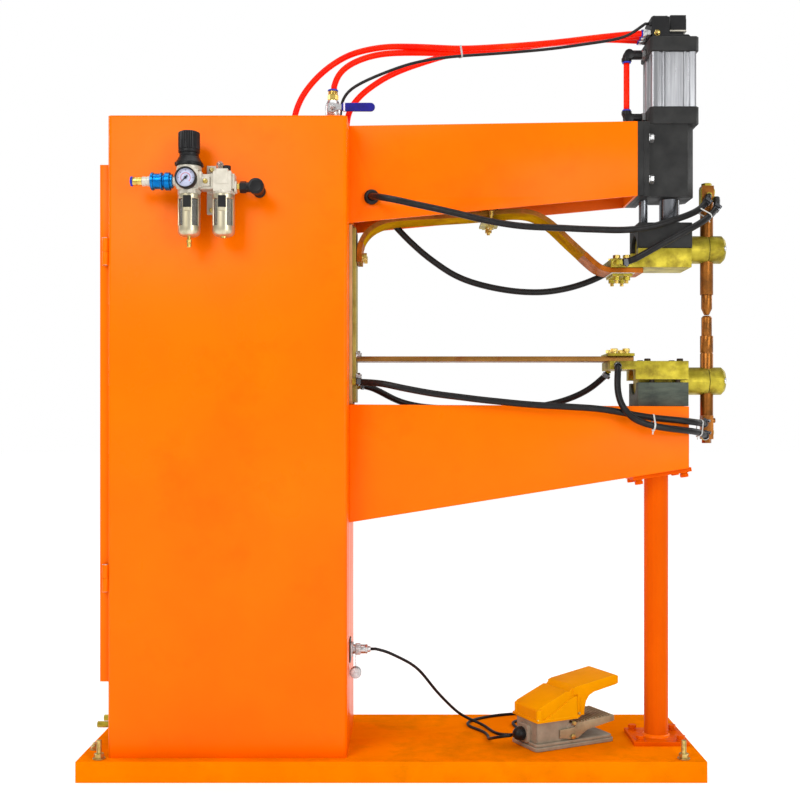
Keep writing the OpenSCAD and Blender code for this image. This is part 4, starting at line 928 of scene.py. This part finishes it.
axle = at((0, FY, 1138), RIGHT)
s = Shape("coupler_core")
s.turned([(0, -424), (8.8, -424), (8.8, -399)], axle, 32)
s.turned([(0, -468), (8.4, -468), (9.2, -467), (9.2, -461.6), (8.4, -461), (8.4, -459), (9.6, -458), (9.6, -452.4),
          (0, -452)], axle, 36)
s.done("steel", finishes=["pale_metal"])
s = Shape("coupler_end")
s.turned([(0, -452.2), (11.4, -452.2), (11.9, -451.6), (11.9, -425.4), (15.6, -425.4), (16.8, -424), (16.8, -416),
          (15.6, -414.6), (13.4, -414), (13.4, -411), (11.5, -410), (0, -410)], axle, 40)
s.done("blue_anodised")
s = Shape("inlet_port")
s.turned([(6.0, -485.6), (8.2, -485.6), (8.6, -485), (8.6, -478), (7.8, -477.4), (7.8, -476), (8.8, -475.4),
          (8.8, -468.6), (8.2, -468), (0, -468), (0, -472), (6.0, -472)], axle, 36)
s.done("brass", finishes=["bright_brass"])
s = Shape("inlet_ring")
s.ring(5.9, 9.4, -489.9, -485.6, axle, 36, 0.8)
s.done("blue_anodised", finishes=["collar_blue"])
s = Shape("sleeve")
inner = 12.06
s.ring(inner, 16.8, -451.6, -445.4, axle, 44, 1.4)
s.ring(inner, 14.6, -445.6, -433.4, axle, 44, 0.2)
s.ring(inner, 16.6, -433.6, -429.2, axle, 44, 1.2)
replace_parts(s.done("blue_anodised", "coupler_sleeve"), "coupler_sleeve")

axle = at((0, FY, 1127), RIGHT)
s = Shape("outlet_nipple")
s.hexagon(17, OX + 25.4, OX + 31, axle)
s.turned([(0, OX + 20), (7, OX + 20), (7, OX + 34)], axle, 24)
s.done("brass", finishes=["bright_brass"])
s = Shape("outlet_elbow")
s.hexagon(20, OX + 31, OX + 43, axle)
s.turned([(0, OX + 42), (9.4, OX + 42), (9.4, OX + 56)], axle, 28)
s.turned([(9, 0), (14.2, 0), (15, 1), (15, 15), (14, 16.4), (10, 17), (9.4, 16.2), (0, 15.6)],
         at((-253, FY + 1, 1127), FRONT), 44)
s.turned([(0, -43.9), (12, -43.9), (12, -38), (10, -36), (10, 0), (0, 0)], at((-253, FY, 1127), FRONT), 32)
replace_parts(s.done("black_plastic", "frame", 0.6), "frl_fittings")


# ---------- conductors ----------

STRAP = [
    (-66, 1006), (-66, 1034), (-61, 1052), (-48, 1070), (-30, 1082), (-8, 1089), (22, 1093), (65, 1095), (122, 1098),
    (179, 1102), (220, 1106), (252, 1108), (276, 1107), (296, 1100), (314, 1089), (331, 1075), (350, 1056),
    (390, 1019), (406, 1004), (418, 994), (430, 989), (445, 989), (503, 989)]


def band(name, path, layers, finishes):
    """Flat bars on each other along a path in the XZ plane: each layer is (lower, upper, half width)."""
    s = Shape(name)
    last = len(path) - 1
    for low, high, half in layers:
        points = []
        for i, p in enumerate(path):
            t = (path[min(i + 1, last)] - path[max(i - 1, 0)]).normalized()
            up = Vector((-t.z, 0, t.x))
            for h, y in ((low, -half), (low, half), (high, half), (high, -half)):
                q = p / MM + up * h
                points.append((q.x, MID_Y + y, q.z))
        faces = [(3, 2, 1, 0), (4 * last, 4 * last + 1, 4 * last + 2, 4 * last + 3)]
        sides = []
        for i in range(last):
            a = 4 * i
            faces += [(a, a + 1, a + 5, a + 4), (a + 2, a + 3, a + 7, a + 6)]
            sides += [(a + 1, a + 2, a + 6, a + 5), (a + 3, a, a + 4, a + 7)]
        verts = [s.bm.verts.new(Vector(q) * MM) for q in points]
        for group, index in ((faces, 0), (sides, 1)):
            for f in group:
                s.bm.faces.new([verts[i] for i in f]).material_index = index
    return s.done("copper", None, 0.0, finishes, sharp=40)


strap_path = smooth_route([(x, MID_Y, z) for x, z in STRAP], 0.007)
sleeve_path = [p for p in strap_path if p.x > 0.382]
leaves = 9
layers = [(-4.7 + 9.4 / leaves * k, -4.7 + 9.4 / leaves * (k + 0.86), 39.2 + 0.5 * (k % 2)) for k in range(leaves)]
strap = band("laminated_leaves", strap_path, layers, ["strap_flat", "strap_edge"])
sleeve = band("strap_sleeve", sleeve_path, [(-5.0, 5.0, 40.6)], ["strap_sleeve", "strap_sleeve"])
round_edges(sleeve, 1.2, 2, 40)
shoe = band("strap_shoe", [p for p in strap_path if p.x < -0.05 and p.z < 1.05], [(-5.2, 5.2, 40.6)],
            ["strap_sleeve", "strap_sleeve"])
round_edges(shoe, 1.0, 2, 40)
for piece in (strap, sleeve, shoe):
    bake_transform(piece)
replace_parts(strap, "laminated_strap")

s = Shape("clamp_plates")
s.block(432, 486, -56, 24, 817.1, 823)
s.block(181, 214, -78.9, 46.9, 1112, 1116)
s.block(179, 216, -56, 24, 1084, 1089)
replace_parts(s.done("brass", "frame", 1.0), "conductor_clamps")
s = Shape("clamp_bolts")
for y in (-44, 12):
    for x in (447, 471):
        s.bolt(at((x, y, 823)), 13, 7.4, 1.5, 7)
for y in (-62, 30):
    s.thread(3.9, 1078, 1112, at((198, y, 0)), 1.4)
    s.hexagon(13, 1105, 1112, at((198, y, 0)))
    s.ring(4.2, 7.4, 1089, 1090.6, at((198, y, 0)))
for y in (-48, 16):
    s.bolt(at((198, y, 1084), DOWN), 13, 7.4, 1.5, 7, tip=4)
for y in (-40, 8):
    s.bolt(at((-60.8, y, 1018), RIGHT), 13, 7.4, 1.5, 7)
s.done("brass", finishes=["bright_brass"])
s = Shape("bracket_arms")
for y in (-62, 30):
    s.block(186, 210, y - 8, y + 8, 1084.5, 1089)
s.done("brass", "frame", 0.6)
s = Shape("lug_shim")
s.block(438, 486, -57, 25, 982.8, 984)
s.done("steel", "head", 0.3, ["pale_metal"])
s = Shape("lug_bolts")
for y in (-42, 10):
    for x in (452, 472):
        s.ring(4.2, 7.6, 976.6, 978, at((x, y, 0)))
        s.thread(4, 964, 971, at((x, y, 0)), 1.4)
        s.bolt(at((x, y, 1011)), 13, 7.4, 1.5, 7)
s.done("brass", "head", 0.0, ["bright_brass"])

# Nuts and screws of the blocks, and the clamp screws of the round bars.
for name, z, deep, body, look in (("upper_block_screws", 1032, 5.4, "head", "steel"),
                                 ("lower_block_screws", 807, 4.4, "frame", "dark_inside")):
    s = Shape(name)
    for x in (512, 577):
        for y in (-52, 20):
            s.turned([(0, 0), (6.4, 0), (6.4, deep), (5.6, deep + 0.8), (3.6, deep + 0.8), (3.3, deep - 2),
                      (0, deep - 2)], at((x, y, z)), 24)
    if body == "frame":
        for x in (520, 572):
            s.rod(5, 764, 770, at((x, -56, 0)), 20)
    s.done("steel", body, finishes=[look])
for name, z, body in (("upper_bar_screws", 1035, "head"), ("lower_bar_screws", 768, "frame")):
    s = Shape(name)
    for y in (-36, 4):
        spot = at((672.5, y, z), RIGHT)
        s.turned([(3.2, -2.6), (3.2, 0.3), (3.6, 0.6), (6.4, 0.6), (6.6, 0.3), (6.6, -2.6)], spot, 24)
        s.hexagon(6, -2.4, 0.2, spot)
    s.done("steel", body)

# ---------- electrodes ----------

s = Shape("upper_water_cap")
s.hexagon(19, 1164, 1170, at((TIP_X, MID_Y, 0)))
s.block(626.4, 629, -25, -7, 1114, 1160)
s.turned([(0, 0), (5.6, 0), (5.6, 6), (6.4, 6.6), (5.4, 8.4), (6.2, 9), (5.2, 11)], at((640, -27.9, 1143), FRONT), 24)
s.turned([(0, 0), (5.6, 0), (5.6, 4), (6.4, 4.6), (5.4, 6.4)], at((651.5, -22, 1137), (0.5, -0.87, 0)), 24)
s.turned([(0, 0), (8.4, 0), (8.4, 2.4), (7.6, 3.2), (0, 3.2)], at((652, MID_Y, 1152), RIGHT), 24)
s.done("brass", "head", 0.4)
s = Shape("lower_water_cap")
s.hexagon(19, 698, 704, at((TIP_X, MID_Y, 0)))
for z in (681, 655):
    s.turned([(0, 0), (7.2, 0), (7.2, 3.4), (5.4, 4), (5.4, 10.5)], at((632, -27.9, z), FRONT), 24)
s.turned([(0, 0), (6.6, 0), (6.6, 2), (5.8, 2.6), (0, 2.6)], at((651, MID_Y, 664), RIGHT), 24)
s.done("brass", "frame", 0.4)
CLIPS = {
    "head": [((632, -44.5, 1126), (0.62, 0.5, 0.6)), ((650, -49.5, 1112.5), (0.5, 0.6, 0.62)),
             ((465, -77.5, 1002.8), (1, -0.22, 0.1))],
    "frame": [((627.6, -47, 681.3), (0.4, 0.92, 0)), ((630.4, -44.6, 656.4), (0.3, 0.95, -0.2)),
              ((448, -76, 797.2), (0, -1, -0.4)), ((445, 46.5, 782), (0.5, -0.2, 0.84)), ((-66, -67, 765), RIGHT),
              ((-62, 20, 760), RIGHT)],
}
for body, places in CLIPS.items():
    s = Shape(body + "_clips")
    for centre, axis in places:
        clip(s, centre, axis, WATER_HOSE / MM / 2)
    s.done("steel", body, finishes=["chrome_rod"])
s = Shape("lug_elbow")
s.turned([(0, 0), (7.4, 0), (7.4, 4), (6, 4.6), (6, 8)], at((446, -63.9, 1002), FRONT), 24)
s.sweep([(446, -68, 1002), (446, -73, 1002), (448, -75.6, 1002), (452, -76.2, 1002), (458.4, -76, 1002)], 6.2, n=20)
s.hexagon(14, 0, 4, at((451, -76.2, 1002), RIGHT))
s.turned([(0, 0), (7.4, 0), (7.4, 4), (5.6, 4.6), (5.6, 12)], at((459, 31.9, 1003), BACK), 24)
s.done("brass", "head")
s = Shape("conductor_fittings")
s.turned([(0, 0), (7.4, 0), (7.4, 3), (5.6, 3.6), (5.6, 6.6)], at((448, -63.9, 800), FRONT), 24)
s.sweep([(450, 31.9, 797), (450, 38, 797), (450, 42.6, 795.4), (450, 44, 791), (450, 44, 786.6)], 5.8, n=20)
for place in ((-72, 20, 760), (-79, -67, 765)):
    s.turned([(0, 0), (8, 0), (8, 3), (7, 4), (7, 7), (0, 7)], at(place, RIGHT), 24)
s.done("brass")
for name, centres, along, body, tail in (
        ("head_tie", [(620.5, -55.5, 1115.6), (621.5, -76.4, 1087.4)], (0.62, 0.5, 0.6), "head", 5),
        ("lower_tie_1", [(511, -105.8, 693.4), (511, -122.2, 677.4)], (1, 0.08, -0.14), "frame", 7),
        ("lower_tie_2", [(611, -76.5, 683.2), (610, -76.4, 664.4)], (0.72, 0.69, -0.1), "frame", 5)):
    tie(name, centres, [6.5, 6.5], along, 3.4, 0.9, "white_nylon", body, tail)

# ---------- rubber pieces and the pedal's socket ----------

s = Shape("arm_grommet")
s.collar([(6.6, 92.4), (8, 94), (12, 93.6), (14.6, 91.4), (15, 88), (14.4, 84.1), (9, 84.1), (9, 78), (6.6, 78)],
         at((-40, 0, 1129), FRONT), 40)
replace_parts(s.done("black_rubber"), "rubber_glands")
s = Shape("socket_gasket").block(-85, -82.6, -70, -34, 206, 252)
s.done("black_rubber", "frame", 0.6)
s = Shape("pedal_gland")
spot = IN_PEDAL @ at((-95, 0, 28), LEFT)
s.turned([(0, 0), (12.6, 0), (13.2, 1), (13.2, 9), (12.6, 12), (10.8, 16), (8, 19), (4.6, 20.6), (0, 21)], spot, 36)
for k in range(12):
    a = 2 * math.pi * k / 12
    s.block(12.6, 13.8, -1.2, 1.2, 1.4, 9.4, spot @ spin(a))
s.done("black_rubber", "frame", 0.5)

s = Shape("socket_shell")
axle = at((0, -52, 230), RIGHT)
s.block(-82.5, -79, -65, -39, 217, 243)
for dy in (-10, 10):
    for dz in (-10, 10):
        s.turned([(0, -79), (2.4, -79), (2.4, -78), (1.6, -77.4), (0, -77.4)], at((0, -52 + dy, 230 + dz), RIGHT), 16)
s.rod(9.4, -79, -74, axle, 32)
for h in (-78, -76.4):
    s.ring(9.2, 10, h, h + 0.9, axle, 32, 0.3)
fluted(s, 11.4, 0.7, 22, -73.6, -63, axle, 1.0)
s.turned([(0, -63), (9, -63), (9, -55), (8.6, -54), (0, -54)], axle, 32)
s.hexagon(16, -54, -49, axle)
s.turned([(0, -49), (6.4, -49), (5.6, -44), (5.2, -43.2), (3.0, -43.0)], axle, 24)
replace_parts(s.done("steel", "frame", 0.3), "pedal_socket")
s = Shape("socket_cap")
spot = at((-73, -48, 184), FRONT)
s.turned([(9.6, 0), (11, 0.6), (11, 14), (10, 15.6), (0, 16)], spot, 32)
for k in range(18):
    s.block(10.8, 11.5, -0.7, 0.7, 2, 14, spot @ spin(2 * math.pi * k / 18))
for k in range(9):
    z = 196 + 3.0 * k
    lean = at((-73 + (k % 2) * 0.01, -57 + 0.2 * k, z), (0, 1, 0) if k % 2 else (1, 0, 0))
    s.collar([(1.2, -0.35), (1.9, -0.35), (1.9, 0.35), (1.2, 0.35)], lean, 14)
s.done("steel")

# ---------- foot pedal ----------

def rounded(l0, l1, w0, w1, r, n=6):
    """A rectangle with round corners, as an outline."""
    out = []
    for cx, cy, a0 in ((l1 - r, w1 - r, 0), (l0 + r, w1 - r, 90), (l0 + r, w0 + r, 180), (l1 - r, w0 + r, 270)):
        out += [(cx + r * math.cos(math.radians(a0 + 90 * k / n)), cy + r * math.sin(math.radians(a0 + 90 * k / n)))
                for k in range(n + 1)]
    return out


s = Shape("pedal_plinth")
s.prism(rounded(-94, 94, -47, 47, 9), 0.05, 8, IN_PEDAL)
s.prism(rounded(-91, 91, -44, 44, 8), 8, 14, IN_PEDAL)
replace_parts(s.done("pedal_grey", "frame", 1.8, segments=3), "pedal_base")
s = Shape("pedal_housing")
s.block(-86, -8, -37, -33.5, 13.8, 56, IN_PEDAL).block(-86, -8, 33.5, 37, 13.8, 56, IN_PEDAL)
s.block(-86, -82.5, -37, 37, 13.8, 56, IN_PEDAL).block(-11.5, -8, -37, 37, 13.8, 56, IN_PEDAL)
s.prism(rounded(-18, 18, -17, 17, 6), 0, 9.2, IN_PEDAL @ at((-85.8, 0, 29), LEFT))
for way in (-1, 1):
    s.block(-16, 3, min(way * 33, way * 38.6), max(way * 33, way * 38.6), 13.8, 46, IN_PEDAL)
s.done("pedal_grey", "frame", 1.2)
s = Shape("pedal_switch").block(-60, -34, -14, 14, 14, 34, IN_PEDAL)
s.done("black_plastic", "frame", 1.0)
s = Shape("pedal_pins")
for way in (-1, 1):
    spot = IN_PEDAL @ at((-5, way * 36, 21), (0, way, 0))
    s.turned([(0, 0), (3.45, 0), (3.45, 8.2), (4.8, 8.2), (5.2, 8.8), (4.8, 10.4), (3, 11), (0, 11)], spot, 24)
    s.bolt(IN_PEDAL @ at((-2, way * 42.4, 47), (0, way, 0)), 7, 4.4, 0.8, 3, spring=False)
s.done("zinc_yellow")

s = Shape("guard_screws")
for way in (-1, 1):
    for spot in (IN_PEDAL @ at((-85.6, way * 41.6, 61)), IN_PEDAL @ at((8.5, way * 45.9, 66), (0, way, 0))):
        s.turned([(0, -1), (3.0, -1), (3.1, 0.3), (2.4, 1.5), (0, 1.8)], spot, 20)
        s.block(-2.0, 2.0, -0.35, 0.35, 1.1, 2.0, spot)
s.done("zinc_yellow")

s = Shape("treadle_ribs")
for k in range(12):
    x = 12 + 7 * k
    z = 46 + (x - 5) * 6 / 91
    slab(s, [(x - 1.9, z - 0.8), (x + 1.9, z - 0.6), (x + 1.0, z + 2.1), (x - 1.0, z + 2.0)], -38.6, 38.6, IN_PEDAL)
s.done("treadle_metal", "treadle", 0.4)

# ---------- door furniture ----------

s = Shape("hinge_caps")
for z in (359, 987):
    for h in (0, 51.4):
        s.turned([(0, 0), (4.6, 0), (6, 0.7), (6, 1.4), (0, 1.4)], at((-551, -145, z + h - (0.9 if h == 0 else 0))), 24)
s.done("steel")

# ---------- floor, light and backdrop ----------

FLOOR = 20  # half the floor's width, in metres
GLOW_FROM_TO, GLOW = (1.2, 3.4), (0.35, 0.62)  # how far from the centre the paper glows, and how much
SKY_ON_OBJECTS, SKY_BEHIND = 0.44, 1.0

paper = Nodes("studio_paper")
paper.link(paper.blend(paper.noise(60, 3), rgb(238, 238, 238), rgb(246, 246, 246)), paper.shader.inputs["Base Color"])
paper.shader.inputs["Roughness"].default_value = 0.75
paper.shader.inputs["Emission Color"].default_value = (1, 1, 1, 1)
away = paper.add("VectorMath")
away.operation = "LENGTH"
paper.link(paper.place, away.inputs[0])
paper.link(paper.ramp(away.outputs["Value"], *GLOW_FROM_TO, *GLOW), paper.shader.inputs["Emission Strength"])
mesh = bpy.data.meshes.new("floor")
mesh.from_pydata([(-FLOOR, -FLOOR, 0), (FLOOR, -FLOOR, 0), (FLOOR, FLOOR, 0), (-FLOOR, FLOOR, 0)], [], [(0, 1, 2, 3)])
mesh.materials.append(paper.material)
stand("floor", mesh)


def softbox(name, place, target, size, power):
    light = bpy.data.lights.new(name, "AREA")
    light.shape = "RECTANGLE"
    light.size, light.size_y = size
    light.energy = power
    lamp = stand(name, light)
    lamp.location = place
    lamp.rotation_euler = (Vector(target) - Vector(place)).to_track_quat("-Z", "Y").to_euler()


for name, place, target, size, power in (
        ("key", (-1.5, -2.6, 2.5), (0, 0, 0.8), (1.4, 1.4), 44), ("fill", (1.7, -2.5, 1.3), (0.1, 0, 0.8),
                                                                  (1.2, 1.6), 30),
        ("top", (0.1, -0.3, 3.2), (0, 0, 0.8), (2.4, 1.6), 30), ("rim_left", (-2.4, 1.0, 1.8), (0, 0, 0.8),
                                                                 (1.0, 1.8), 20),
        ("rim_right", (2.4, 1.0, 1.8), (0.3, 0, 0.8), (1.0, 1.8), 20)):
    softbox(name, place, target, size, power)
world = bpy.data.worlds.new("studio")
world.use_nodes = True
sky = world.node_tree.nodes["Background"]
sky.inputs["Color"].default_value = (1, 1, 1, 1)
seen = world.node_tree.nodes.new("ShaderNodeLightPath").outputs["Is Camera Ray"]
level = world.node_tree.nodes.new("ShaderNodeMapRange")
level.inputs["To Min"].default_value = SKY_ON_OBJECTS
level.inputs["To Max"].default_value = SKY_BEHIND
world.node_tree.links.new(seen, level.inputs["Value"])
world.node_tree.links.new(level.outputs["Result"], sky.inputs["Strength"])
bpy.context.scene.world = world
bpy.context.scene.view_settings.view_transform = "Standard"
